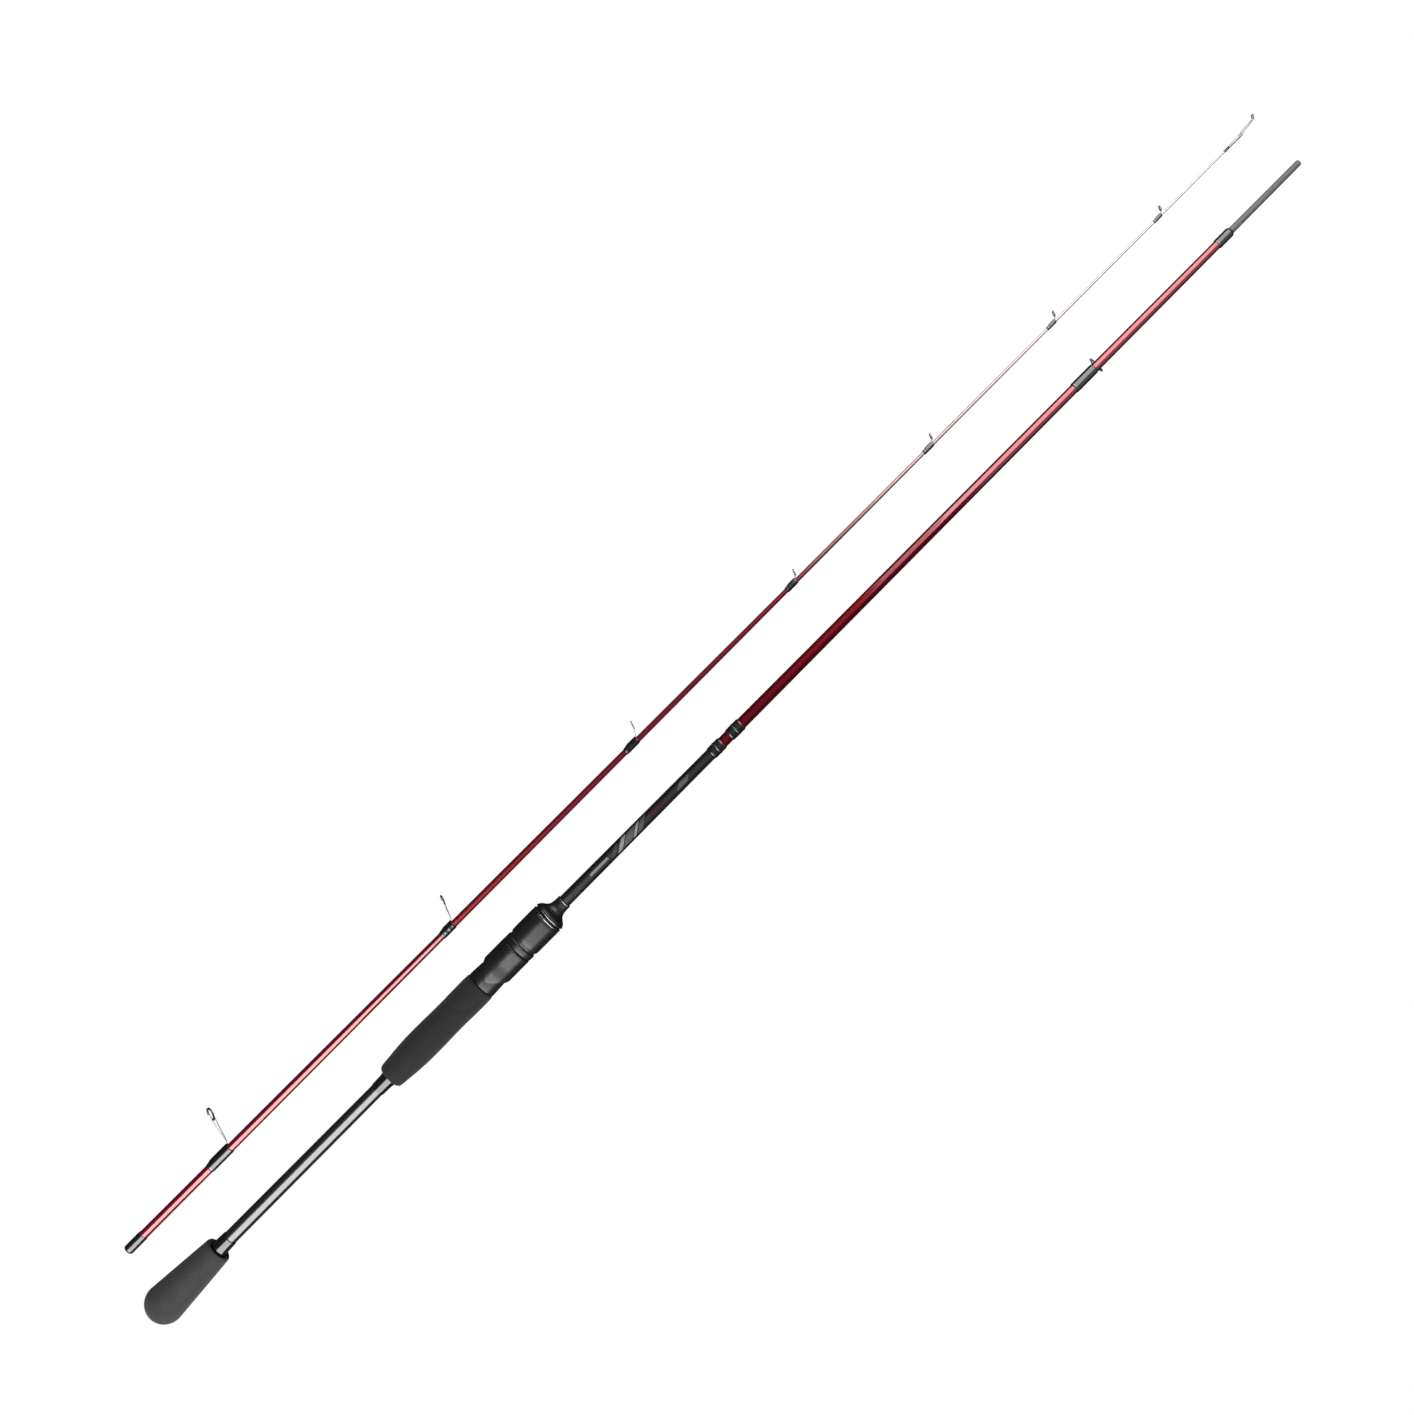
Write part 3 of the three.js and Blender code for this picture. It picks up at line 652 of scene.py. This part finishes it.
def blacken_bore(piece, section, node):
    """Gives a blank's bore and its end faces the look of bare black carbon."""
    piece.data.materials.append(BLACK)
    x, y, z = np.array([face.center for face in piece.data.polygons]).T / MM
    inside = np.hypot(y, z) < 0.9 * blank_radius(section, node, x)
    piece.data.polygons.foreach_set("material_index", inside.astype(np.int32))


def butt_blank():
    """The butt section's tube: black up to the front edge of the rear decor wrap, and crimson ahead."""
    stations, radii = butt.taper("butt_blank")
    x = np.append(np.arange(stations[0], stations[-1], ROW_STEP), stations[-1])
    r = np.interp(x, stations, radii)
    outer = round_rows(x[:, None], r[:, None], round_angles(THIN))
    inner = round_rows(x[::-1, None], r[::-1, None] * BORE_RATIO, round_angles(THIN))
    change = abs(x - (butt.span("decor_wrap_rear")[1] - 2)).argmin()
    bevel = 0.4

    def black(mesh):
        add_patch(mesh, np.vstack([outer[: change + 1], inner[-change - 1 :]]), along=True)

    def crimson(mesh):
        body = outer[change:].copy()
        body[-1, :, 0] -= bevel
        front_edge = outer[-1:] * (1, 0.93, 0.93)
        add_patch(mesh, np.vstack([body, front_edge, inner[: len(x) - change]]), along=True)

    dress(new_piece("blank_handle", butt, black), BLACK, "blank_lacquer", "butt_blank")
    front = dress(new_piece("blank_butt_front", butt, crimson), CRIMSON, "blank_lacquer", "butt_blank")
    blacken_bore(front, butt, "butt_blank")


def tip_blank():
    """The tip section's tube, open at its butt end and solid towards its tip."""
    stations, radii = tip.taper("tip_blank")
    keep = radii > 0.5  # the slimmest stations belong to the bore's end
    stations, radii = stations[keep], radii[keep]
    x = np.append(np.arange(stations[0], stations[-1], ROW_STEP), stations[-1])
    r = np.interp(x, stations, radii)
    bored = x < TIP_BORE_END
    outer = list(zip(x, r))
    bore = list(zip(x[bored], r[bored] * BORE_RATIO))[::-1]
    socket = r[0] * BORE_RATIO
    mouth = [(0.5, socket), (0.0, r[0] * 0.8), (0.0, r[0] * 0.95), (0.35, r[0])]
    outline = [(TIP_BORE_END, 0), *bore[:-1], *mouth, *outer[1:], (x[-1], 0)]
    piece = lathe("blank_tip", tip, outline, THIN, closed=False)
    dress(piece, CRIMSON_TIP, "blank_lacquer", "tip_blank")
    blacken_bore(piece, tip, "tip_blank")


def spigot():
    """The graphite plug that joins the sections, with a rounded nose."""
    start, end = butt.span("spigot")
    shoulder = butt.span("butt_blank")[1]
    inside, root, nose, rounding = 2.0, 2.35, 2.15, 1.1
    arc = [
        (end - rounding * (1 - math.sin(a)), nose - rounding * (1 - math.cos(a)))
        for a in np.linspace(0, 1.5, 8)
    ]
    outline = [(start, 0), (start, inside), (shoulder, inside), (shoulder, root), *arc, (end, 0)]
    piece = lathe("ferrule_plug", butt, outline, THIN, closed=False)
    dress(piece, GRAPHITE, "graphite", "spigot")


# ---- wraps ----


def epoxy_height(x, start, end, thickness):
    """The height of epoxy over the blank: steep domed ends and a faintly uneven top."""
    dome_length = 1.6
    share = np.clip(np.minimum(x - start, end - x) / dome_length, 0, 1)
    dome = np.sqrt(share * (2 - share))
    return thickness * dome * (1 + 0.04 * np.sin(x * 1.7))


def mark_trim(piece, bands):
    """Writes the trim attribute: 1 on the stations of metallic thread, 0 elsewhere."""
    x = np.array([v.co.x for v in piece.data.vertices]) / MM
    trim = sum((x > start) & (x < end) for start, end in bands) if bands else x * 0
    attribute = piece.data.attributes.new("trim", "FLOAT", "POINT")
    attribute.data.foreach_set("value", np.asarray(trim, np.float32))


def plain_wrap(name, section, node, blank, thickness, bands=(), inset=0.0):
    """Thread and epoxy round a bare stretch of blank.

    Bands of metallic thread are given from its start, or from its end where they are negative. inset
    leaves the wrap's first millimetres out.
    """
    start, end = section.span(node)
    start += inset
    x = np.linspace(start, end, max(40, int((end - start) / 0.12)))
    base = blank_radius(section, blank, x)
    outer = list(zip(x, base + 0.05 + epoxy_height(x, start, end, thickness)))
    outline = [*outer, (end, base[-1] - 0.02), (start, base[0] - 0.02)]
    piece = lathe(name, section, outline, THIN)
    edges = [start if first >= 0 else end for first, _ in bands]
    mark_trim(piece, [(edge + first, edge + last) for edge, (first, last) in zip(edges, bands)])
    dress(piece, WRAP, "wrap_epoxy", node)


def foot_wrap(name, section, guide, blank, lead):
    """Thread and epoxy over a guide's foot: round the blank, and bulging where the foot lies under it."""
    start, end = section.span(guide + "_wrap")
    start -= lead
    top = section.points(guide + "_wrap")[:, 2].max()
    x = np.linspace(start, end + 0.6, int((end - start) / 0.12))[:, None]
    angles = round_angles(THIN)
    base = blank_radius(section, blank, x)
    thickness = 0.42
    round_part = base + 0.02 + epoxy_height(x, x[0], x[-1], thickness)
    rise = ramp(x, start + 0.5, start + 5.0)
    ends = np.minimum(1, 0.9 + epoxy_height(x, x[0], x[-1], 1))
    foot_top = np.minimum(base + (top - base) * rise, top) * ends
    foot_half = (base * 0.35 + 0.45 * rise) + 0.25
    bulge = box_radius(angles, foot_half, foot_top, 3)
    blend = 14  # the higher, the sharper the valley between the two
    outer = round_rows(x, (round_part**blend + bulge**blend) ** (1 / blend), angles)
    inner = round_rows(x[::-1], base[::-1] - 0.02, angles)
    rows = np.vstack([outer, inner])
    piece = new_piece(name, section, lambda mesh: add_patch(mesh, rows, along=True))
    mark_trim(piece, [(start + 1.0, start + 1.7)])
    dress(piece, WRAP, "wrap_epoxy", guide + "_wrap")


# ---- guides ----

LEG_SPREAD = math.radians(58)  # from a ring's lowest point to each leg


def band_outline(outer, inner, width):
    """The outline of a ring frame's rounded metal band."""
    half, middle = width / 2, (outer + inner) / 2
    corners = [
        (-half, middle), (-half, outer), (half, outer), (half, inner), (-half, inner), (-half, middle),
    ]
    return softened(corners, min(half, (outer - inner) / 2) * 0.8)[:-1]


def insert_outline(outer, thickness, width):
    """A ceramic insert's outline: flat outside, and a round nose where the line runs."""
    nose = [
        (math.cos(a) * width / 2, outer - thickness * 0.45 - math.sin(a) * thickness * 0.55)
        for a in np.linspace(0, math.pi, 12)
    ]
    return [(-width / 2, outer), (width / 2, outer), *nose]


class LineRing:
    """A guide's round end, whose place, size and lean towards the tip come from its CAD ring."""

    def __init__(self, section, guide, wire):
        points = section.points(guide + "_ring")
        self.middle = (points.min(0) + points.max(0)) / 2
        away = points - self.middle
        _, axes = np.linalg.eigh(away.T @ away)
        axis = axes[:, 0] * np.sign(axes[0, 0])
        self.lean = math.atan2(-axis[2], axis[0])
        self.inner = np.linalg.norm(away - np.outer(away @ axis, axis), axis=1).max()
        self.outer = self.inner + 1.35 * wire
        self.wire = wire

    def placed(self, outline):
        """Rows of an outline turned round +X, leaned and moved to the ring's place."""
        c, s = math.cos(self.lean), math.sin(self.lean)
        lean = np.array([[c, 0, s], [0, 1, 0], [-s, 0, c]])
        return turned(outline, THIN) @ lean.T + self.middle

    def band(self):
        return self.placed(band_outline(self.outer, self.inner, self.wire * 2))

    def insert(self):
        return self.placed(insert_outline(self.inner, self.wire * 1.15, self.wire * 2.3))

    def join(self, angle):
        """Where a leg ends in the band, at an angle from the ring's lowest point."""
        reach = self.outer - self.wire * 0.7
        drop = reach * math.cos(angle)
        down = (drop * math.sin(self.lean), drop * math.cos(self.lean))
        return self.middle[0] - down[0], reach * math.sin(angle), self.middle[2] - down[1]


def leg_path(foot, shoulder, join):
    """A leg's curve from the foot, round its shoulder, up to the ring."""
    return curve_through([foot, shoulder, (np.array(shoulder) * 0.4 + np.array(join) * 0.6), join], 8)


def foot_blade(start, end, height, wire):
    """The foot's flat blade, which thins towards its end under the wrap."""
    steps = sides = 16
    angles = round_angles(sides)
    rows = [np.tile((start, 0.0, height), (sides, 1))]
    for station, share in zip(np.linspace(start, end, steps), np.linspace(0.35, 1.0, steps)):
        across = 1.45 * wire * share * np.cos(angles)
        up = height + 0.5 * wire * share * np.sin(angles)
        rows.append(np.stack([np.full(sides, station), across, up], axis=-1))
    rows.append(np.tile((end, 0.0, height), (sides, 1)))
    return np.array(rows)


def add_insert(section, guide, ring):
    """The ceramic insert that the line runs through."""
    rows = ring.insert()
    piece = new_piece(guide + "_insert", section, lambda mesh: add_patch(mesh, rows, along=True))
    dress(piece, CERAMIC, "ring_ceramic", guide + "_ring")


def add_guide(section, guide, blank, wire, lead=0.0):
    """A guide: a foot that dives under its wrap, two bent legs, a ring frame and its ceramic insert."""
    ring = LineRing(section, guide, wire)
    start, end = section.span(guide + "_wrap")
    foot_z = blank_radius(section, blank, end) + 0.55 * wire + 0.1

    def fill(mesh):
        add_patch(mesh, ring.band(), along=True)
        for side in (-1, 1):
            join = ring.join(side * LEG_SPREAD)
            foot = (end - 1.0, side * wire * 0.55, foot_z)
            shoulder_z = foot_z + (join[2] - foot_z) * 0.06 + 0.2 * wire
            shoulder = (end + 0.9 + wire, side * wire * 0.75, shoulder_z)
            add_patch(mesh, tube_rows(leg_path(foot, shoulder, join), wire * 0.62))
        add_patch(mesh, foot_blade(start + 1.5, end + 0.6, foot_z, wire))

    piece = new_piece(guide + "_wire", section, fill)
    fuse(piece, max(0.07, wire * 0.22))
    dress(piece, STEEL, "guide_steel", guide + "_frame")
    add_insert(section, guide, ring)
    foot_wrap(guide + "_thread", section, guide, blank, lead)


def tip_top():
    """The tip-top: a tube over the blank's end that carries its ring on three legs."""
    wire = 0.35
    ring = LineRing(tip, "tip_top", wire)
    start = tip.span("tip_top_wrap")[1] + 0.3
    end = tip.span("tip_blank")[1] - 0.6
    blank = blank_radius(tip, "tip_blank", start)
    outer = blank + 0.3
    tube = softened(
        [(start, blank), (start, outer), (end - 0.4, outer), (end, outer * 0.5), (end, 0)], 0.25
    )

    def leg(mesh, foot, shoulder, angle):
        add_patch(mesh, tube_rows(leg_path(foot, shoulder, ring.join(angle)), wire * 0.85))

    def fill(mesh):
        add_patch(mesh, ring.band(), along=True)
        add_patch(mesh, turned([(start + 2, 0), (start + 2, blank), *tube[1:]], THIN))
        for side in (-1, 1):
            foot = (start + 7.0, side * wire * 0.8, outer * 0.75)
            leg(mesh, foot, (start + 11.0, side * wire * 1.3, outer + 0.25), side * LEG_SPREAD)
        leg(mesh, (end - 1.5, 0, 0), (end - 0.4, 0, 0), 0.0)

    piece = new_piece("tip_top_wire", tip, fill)
    fuse(piece, 0.08)
    dress(piece, STEEL, "guide_steel", "tip_top_frame")
    add_insert(tip, "tip_top", ring)


# ---- reel seat ----

SADDLE_DEPTH, SADDLE_HALF = 8.6, 6.5
CREST, ROOT, PITCH = 9.4, 8.95, 2.5  # the barrel's thread
NUT_BORE = 9.75
TRIM_BORE = 10.8  # the silver rings on the nut and the cone


def reel_seat():
    """The seat: a round tube with a flat saddle on the reel's side, a waist, and a threaded barrel."""
    start, end = butt.span("reel_seat_body")
    saddle, waist, barrel = start + 7.3, start + 58, start + 70.7
    saddle_end, thread = start + 90.7, start + 91.2
    tube, bore = 8.5, 7.4
    x = np.concatenate([
        np.arange(start, waist - 0.3, 1.0),
        np.arange(waist - 0.3, thread, 0.25),
        np.arange(thread, end, 0.125),
        [end],
    ])[:, None]
    angles = round_angles(FINE)
    down, across = np.cos(angles), abs(np.sin(angles))

    shelf = np.where(down > 0, np.minimum(SADDLE_HALF / np.maximum(across, 1e-6), 30), 0)
    body = np.where((x > saddle) & (x < waist), np.maximum(tube, shelf), tube)
    body = np.where(x > waist, 10.8 - 0.5 * ramp(x, waist, barrel), body)
    body = np.where(x > barrel - 2, body + (CREST - body) * ramp(x, barrel - 2, barrel + 0.5), body)

    turn = (x - thread) / PITCH - angles / (2 * math.pi)
    helix = ROOT + (CREST - ROOT) * ramp(abs(2 * (turn % 1) - 1), 0.15, 0.85)
    cut_in = ramp(x, thread, thread + 1.5) * ramp(-x, -(end - 0.8), -(end - 2.5))
    uncut = np.where(x < end - 2, CREST, ROOT)
    body = np.where(x > thread, uncut * (1 - cut_in) + helix * cut_in, body)

    flat = SADDLE_DEPTH / np.maximum(down, 1e-6)
    body = np.where((down > 0) & (x > saddle) & (x < saddle_end), np.minimum(body, flat), body)
    key_depth, key_half = 8.3, 1.5
    keyway = key_depth / np.maximum(-down, 1e-6)
    in_key = (down < 0) & (across * CREST < key_half) & (x > barrel)
    body = np.where(in_key, np.minimum(body, keyway), body)

    outer = round_rows(x, body, angles)
    inner = round_rows(x[::-1], np.full_like(x, bore), angles)
    rows = np.vstack([outer, inner])
    piece = new_piece("seat_tube", butt, lambda mesh: add_patch(mesh, rows, along=True), sharp=50)
    dress(piece, SEAT, "seat_plastic", "reel_seat_body")


def hood_radius(angles, ring, half_width, depth):
    """A hood's cross-section: a circle, joined smoothly to the foot's pocket on the reel's side."""
    blend = 16  # the higher, the sharper the valley between the two
    return (ring**blend + box_radius(angles, half_width, depth, 5) ** blend) ** (1 / blend)


def pocket_share(x, start, end):
    """How deep the moving hood's pocket is: 1 at its mouth, and shallower towards the front."""
    return 1 - ramp(x, start + 19.5, end + 4)


# The joint between hood and nut, ahead of where the CAD model has it: the camera sees it from in front.
NUT_SHIFT = 1.7


def moving_hood():
    """The sliding hood: a ring with a pocket for the reel foot, and a scalloped tongue opposite."""
    start, end = butt.span("moving_hood")
    mouth = end - 17.5
    end += NUT_SHIFT
    flange = end - 2.5  # the pocket's front wall
    angles = round_angles(FINE)
    above = -np.cos(angles)
    tongue = 9.5 * (1 - abs(np.sin(angles)) ** 1.3) * (above > 0)
    rear = mouth - tongue

    def outer_row(share, rounding):
        x = rear + share * (end - rear)
        flare = 0.45 * (1 - ramp(x, mouth - 3, mouth + 7)) * ramp(above, 0.2, 0.6)
        radius = hood_radius(angles, 11.65 + flare, 8.0, 12.6 + 3.2 * pocket_share(x, start, end))
        return round_rows(x, radius - rounding, angles)

    def inner_row(share):
        x = rear + share * (flange - rear)
        bore = 10.95 + 0.55 * (1 - ramp(x, mouth - 1.5, mouth + 0.5)) * ramp(above, 0.2, 0.5)
        radius = hood_radius(angles, bore, 6.9, 11.6 + 3.0 * pocket_share(x, start, end))
        return round_rows(x, radius, angles)

    rear_lip = [(0, 0.3), (0.006, 0.12), (0.02, 0.02)]
    wall = [(share, 0) for share in np.linspace(0.05, 0.96, 34)]
    front_lip = [(0.985, 0.06), (0.996, 0.22), (1.0, 0.4)]
    outer = [outer_row(share, rounding) for share, rounding in [*rear_lip, *wall, *front_lip]]
    hole = [round_rows(np.full(FINE, x), NUT_BORE, angles) for x in (end, flange)]
    inner = [inner_row(share) for share in np.linspace(1, 0.01, 24)]
    rows = np.array([*outer, *hole, *inner])

    def fill(mesh):
        add_patch(mesh, rows, along=True)

    piece = new_piece("sliding_hood", butt, fill, body="moving_hood", sharp=50)
    dress(piece, SEAT, "seat_plastic", "moving_hood")


def hood_swell(x):
    """How far the fixed hood has swelled over the reel foot: 0 at its rear edge, and 1 from 7 mm on."""
    share = np.clip((x - butt.span("fixed_hood")[0]) / 7, 0, 1)
    return np.sqrt(share * (2 - share))


def fixed_hood():
    """The fixed hood: a metal shell that swells from the seat over the reel foot's rear end."""
    start, end = butt.span("fixed_hood")
    half_angle = math.radians(56)
    angles = np.linspace(-half_angle, half_angle, 48)
    x = np.linspace(start, end, 30)[:, None]
    swell = hood_swell(x)
    outer = round_rows(x, box_radius(angles, 8.1, 9.7 + 6.0 * swell, 5), angles)
    inner = round_rows(x, box_radius(angles, 6.9, 8.3 + 6.3 * swell, 5), angles)
    piece = new_piece("rear_hood", butt, lambda mesh: thick_sheet(mesh, outer, inner), sharp=50)
    dress(piece, STEEL, "guide_steel", "fixed_hood")


def hood_cushion(name, node, body):
    """A thin rubber pad on a pocket's floor, crowned and soft at its rim."""
    start, end = butt.span(node)
    points = butt.points(node)
    floor, half = points[:, 2].max(), points[:, 1].max()
    x = np.linspace(start, end, 20)[:, None]
    y = np.linspace(-half, half, 20)
    rim = np.minimum(np.minimum(x - start, end - x), half - abs(y))
    crown = 0.55 * np.sqrt(np.clip(rim / 0.9, 0, 1))
    if body == "moving_hood":
        depth = floor - 3.0 * (1 - pocket_share(x, *butt.span("moving_hood")))
    else:
        depth = np.minimum(floor, 8.4 + 6.3 * hood_swell(x))
    low = np.stack(np.broadcast_arrays(x, y, depth), axis=-1)
    high = np.stack(np.broadcast_arrays(x, y, depth - 0.1 - crown), axis=-1)
    piece = new_piece(name, butt, lambda mesh: thick_sheet(mesh, low, high), body=body)
    dress(piece, CUSHION, "hood_cushion", node)


def lock_nut():
    """The lock nut: a narrow band between two grooves, and a long smooth barrel."""
    start, end = butt.span("lock_nut")
    start += NUT_SHIFT
    outline = [
        (start, NUT_BORE), (start, 11.0), (start + 0.3, 11.4), (start + 0.8, 11.6), (start + 4.2, 11.6),
        (start + 4.6, 11.35), (start + 4.8, 10.9), (start + 6.6, 10.9), (start + 6.9, 11.4),
        (start + 7.5, 11.7), (start + 10.5, 11.78), (end - 4.5, 11.8), (end - 2.5, 11.72),
        (end - 2.05, 11.35), (end - 2.0, 10.85), (end, 10.85), (end, NUT_BORE),
    ]
    piece = lathe("clamp_nut", butt, softened(outline, 0.3), body="lock_nut")
    dress(piece, SEAT, "seat_plastic", "lock_nut")


def nose_cone():
    """The steep cone and slim sleeve that close the seat's front."""
    start, end = butt.span("nose_cone")
    bore = 4.6
    outline = [
        (start, bore), (start, 10.85), (start + 1.3, 10.85), (start + 1.35, 11.3), (start + 1.9, 11.2),
        (start + 3.0, 10.4), (start + 3.9, 9.35), (start + 5.2, 7.55), (start + 6.6, 6.35),
        (start + 8.6, 5.55), (start + 11, 5.28), (end - 0.3, 5.2), (end, 5.05), (end, bore),
    ]
    piece = lathe("front_cone", butt, softened(outline, 0.5))
    dress(piece, SEAT, "seat_plastic", "nose_cone")


def silver_ring(name, node, inner, body="butt_section"):
    """A turned silver ring with rounded edges."""
    gap = edge = 0.15
    start, end = butt.span(node)
    start, end = start + gap, end - gap
    outer = butt.radius(node)
    outline = [
        (start, inner), (start, outer - 0.12), (start + edge, outer), (end - edge, outer),
        (end, outer - 0.12), (end, inner),
    ]
    piece = lathe(name, butt, softened(outline, 0.12), body=body)
    dress(piece, SILVER, "silver_trim", node)


def arbors():
    """The hidden fillers keep their CAD shape and get the look of ground cork."""
    for place in ("rear", "middle", "front"):
        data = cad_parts["seat_arbor_" + place].data
        data.materials.clear()
        data.materials.append(FILLER)


# ---- the whole rod ----


def build_handle():
    butt_grip()
    rear_grip()
    collars()
    reel_seat()
    fixed_hood()
    hood_cushion("rear_hood_pad", "fixed_hood_cushion", "butt_section")
    moving_hood()
    hood_cushion("sliding_hood_pad", "moving_hood_cushion", "moving_hood")
    lock_nut()
    silver_ring("nut_ring", "lock_nut_ring", TRIM_BORE, "lock_nut")
    nose_cone()
    silver_ring("cone_ring", "nose_cone_ring", TRIM_BORE)
    silver_ring("winding_check", "nose_check", 4.6)
    arbors()


WIRES = {2: 0.55, 3: 0.5, 4: 0.45, 5: 0.4, 6: 0.38, 7: 0.35, 8: 0.35}  # a guide's wire, from the butt


def build_butt_section():
    butt_blank()
    spigot()
    both_ends = [(0.6, 1.0), (-1.0, -0.6)]
    for place in ("rear", "front"):
        wrap = "decor_wrap_" + place
        plain_wrap("decor_thread_" + place, butt, wrap, "butt_blank", 0.5, both_ends)
        silver_ring("decor_silver_" + place, "decor_band_" + place, butt.radius(wrap) - 0.2)
    plain_wrap("ferrule_thread_butt", butt, "butt_ferrule_wrap", "butt_blank", 0.45, [(0.4, 1.2)])
    add_guide(butt, "stripper_guide", "butt_blank", 0.65, lead=1.5)


def build_tip_section():
    tip_blank()
    plain_wrap("ferrule_thread_tip", tip, "tip_ferrule_wrap", "tip_blank", 0.35)
    for number, wire in WIRES.items():
        add_guide(tip, f"guide_{number}", "tip_blank", wire)
    tip_top()
    plain_wrap("tip_top_thread", tip, "tip_top_wrap", "tip_blank", 0.25, inset=4.0)


# ---- studio ----

CAMERA_HEIGHT = 1.1  # above the butt section's axis
VIEW_WIDTH = 0.9622  # what the photo shows at that axis
TILT = math.radians(45.18)  # the rod's slope in the picture
AIM = Vector((0.562, -0.0242, 0.0))  # in the butt section's frame


def picture_axes():
    """The picture's right, up and back directions: the camera looks straight down on the rod."""
    along = butt.matrix.col[0].xyz
    back = -butt.matrix.col[2].xyz
    across = back.cross(along)
    right = along * math.cos(TILT) - across * math.sin(TILT)
    up = along * math.sin(TILT) + across * math.cos(TILT)
    return right, up, back


def add_camera():
    right, up, back = picture_axes()
    camera = bpy.data.objects.new("camera", bpy.data.cameras.new("camera"))
    camera.data.sensor_width = 36
    camera.data.lens = camera.data.sensor_width * CAMERA_HEIGHT / VIEW_WIDTH
    camera.data.clip_end = 20
    place = Matrix((right, up, back)).transposed().to_4x4()
    place.translation = butt.matrix @ AIM + back * CAMERA_HEIGHT
    camera.matrix_world = place
    bpy.context.scene.collection.objects.link(camera)
    bpy.context.scene.camera = camera


def white_look():
    """Evenly lit white, as on a light table, so that nothing throws a shadow on it."""
    look = Look("studio_white", Specular_IOR_Level=0.0, Emission_Strength=1.0)
    look.shader.inputs["Emission Color"].default_value = (1, 1, 1, 1)
    look.colour((0.0, 0.0, 0.0))
    return look.material


def add_stage(name, mesh, look):
    """A stage piece that lights nothing and shows in no reflection."""
    data = bpy.data.meshes.new(name)
    mesh.to_mesh(data)
    mesh.free()
    data.materials.append(look)
    piece = bpy.data.objects.new(name, data)
    bpy.context.scene.collection.objects.link(piece)
    piece.visible_glossy = False
    piece.visible_diffuse = False


def add_floor():
    """A plain white table, and a white dome that carries it on all round."""
    white = white_look()
    floor = bmesh.new()
    bmesh.ops.create_grid(floor, x_segments=1, y_segments=1, size=6.0)
    add_stage("floor", floor, white)
    dome = bmesh.new()
    bmesh.ops.create_icosphere(dome, subdivisions=4, radius=8.0)
    add_stage("backdrop", dome, white)


def add_softbox(name, station, angle, distance, length, width, radiance):
    """A rectangular light, unseen by the camera, that faces the rod from the side.

    station is in mm along the butt section, and angle is in degrees from straight up towards the
    picture's lower right. length runs along the rod and width across it. They and distance are in metres.
    """
    angle = math.radians(angle)
    data = bpy.data.lights.new(name, "AREA")
    data.shape = "RECTANGLE"
    data.size, data.size_y = length, width
    data.energy = radiance * math.pi * length * width
    light = bpy.data.objects.new(name, data)
    along = butt.matrix.col[0].xyz
    up = -butt.matrix.col[2].xyz
    outward = up * math.cos(angle) - up.cross(along) * math.sin(angle)
    place = Matrix((along, outward.cross(along), outward)).transposed().to_4x4()
    place.translation = butt.matrix @ Vector((station * MM, 0, 0)) + outward * distance
    light.matrix_world = place
    light.visible_camera = False
    bpy.context.scene.collection.objects.link(light)


def add_world(strength):
    world = bpy.data.worlds.new("studio")
    world.use_nodes = True
    background = world.node_tree.nodes["Background"]
    background.inputs["Color"].default_value = (1, 1, 1, 1)
    background.inputs["Strength"].default_value = strength
    bpy.context.scene.world = world


# Each light's station, angle, distance, length, width and radiance.
SOFTBOXES = {
    "butt_softbox": (-200, 28, 0.7, 0.8, 1.2, 7.4),
    "tip_softbox": (1225, -34, 0.7, 0.65, 1.3, 4.8),
    "tip_softbox_edge": (850, -34, 0.7, 0.1, 1.3, 1.7),
    "tip_fill": (1280, 45, 0.8, 0.6, 1.2, 0.7),
}


def build_studio():
    add_camera()
    add_floor()
    add_world(0.02)
    for name, settings in SOFTBOXES.items():
        add_softbox(name, *settings)
    bpy.context.scene.view_settings.view_transform = "Standard"


build_studio()
build_handle()
build_butt_section()
build_tip_section()
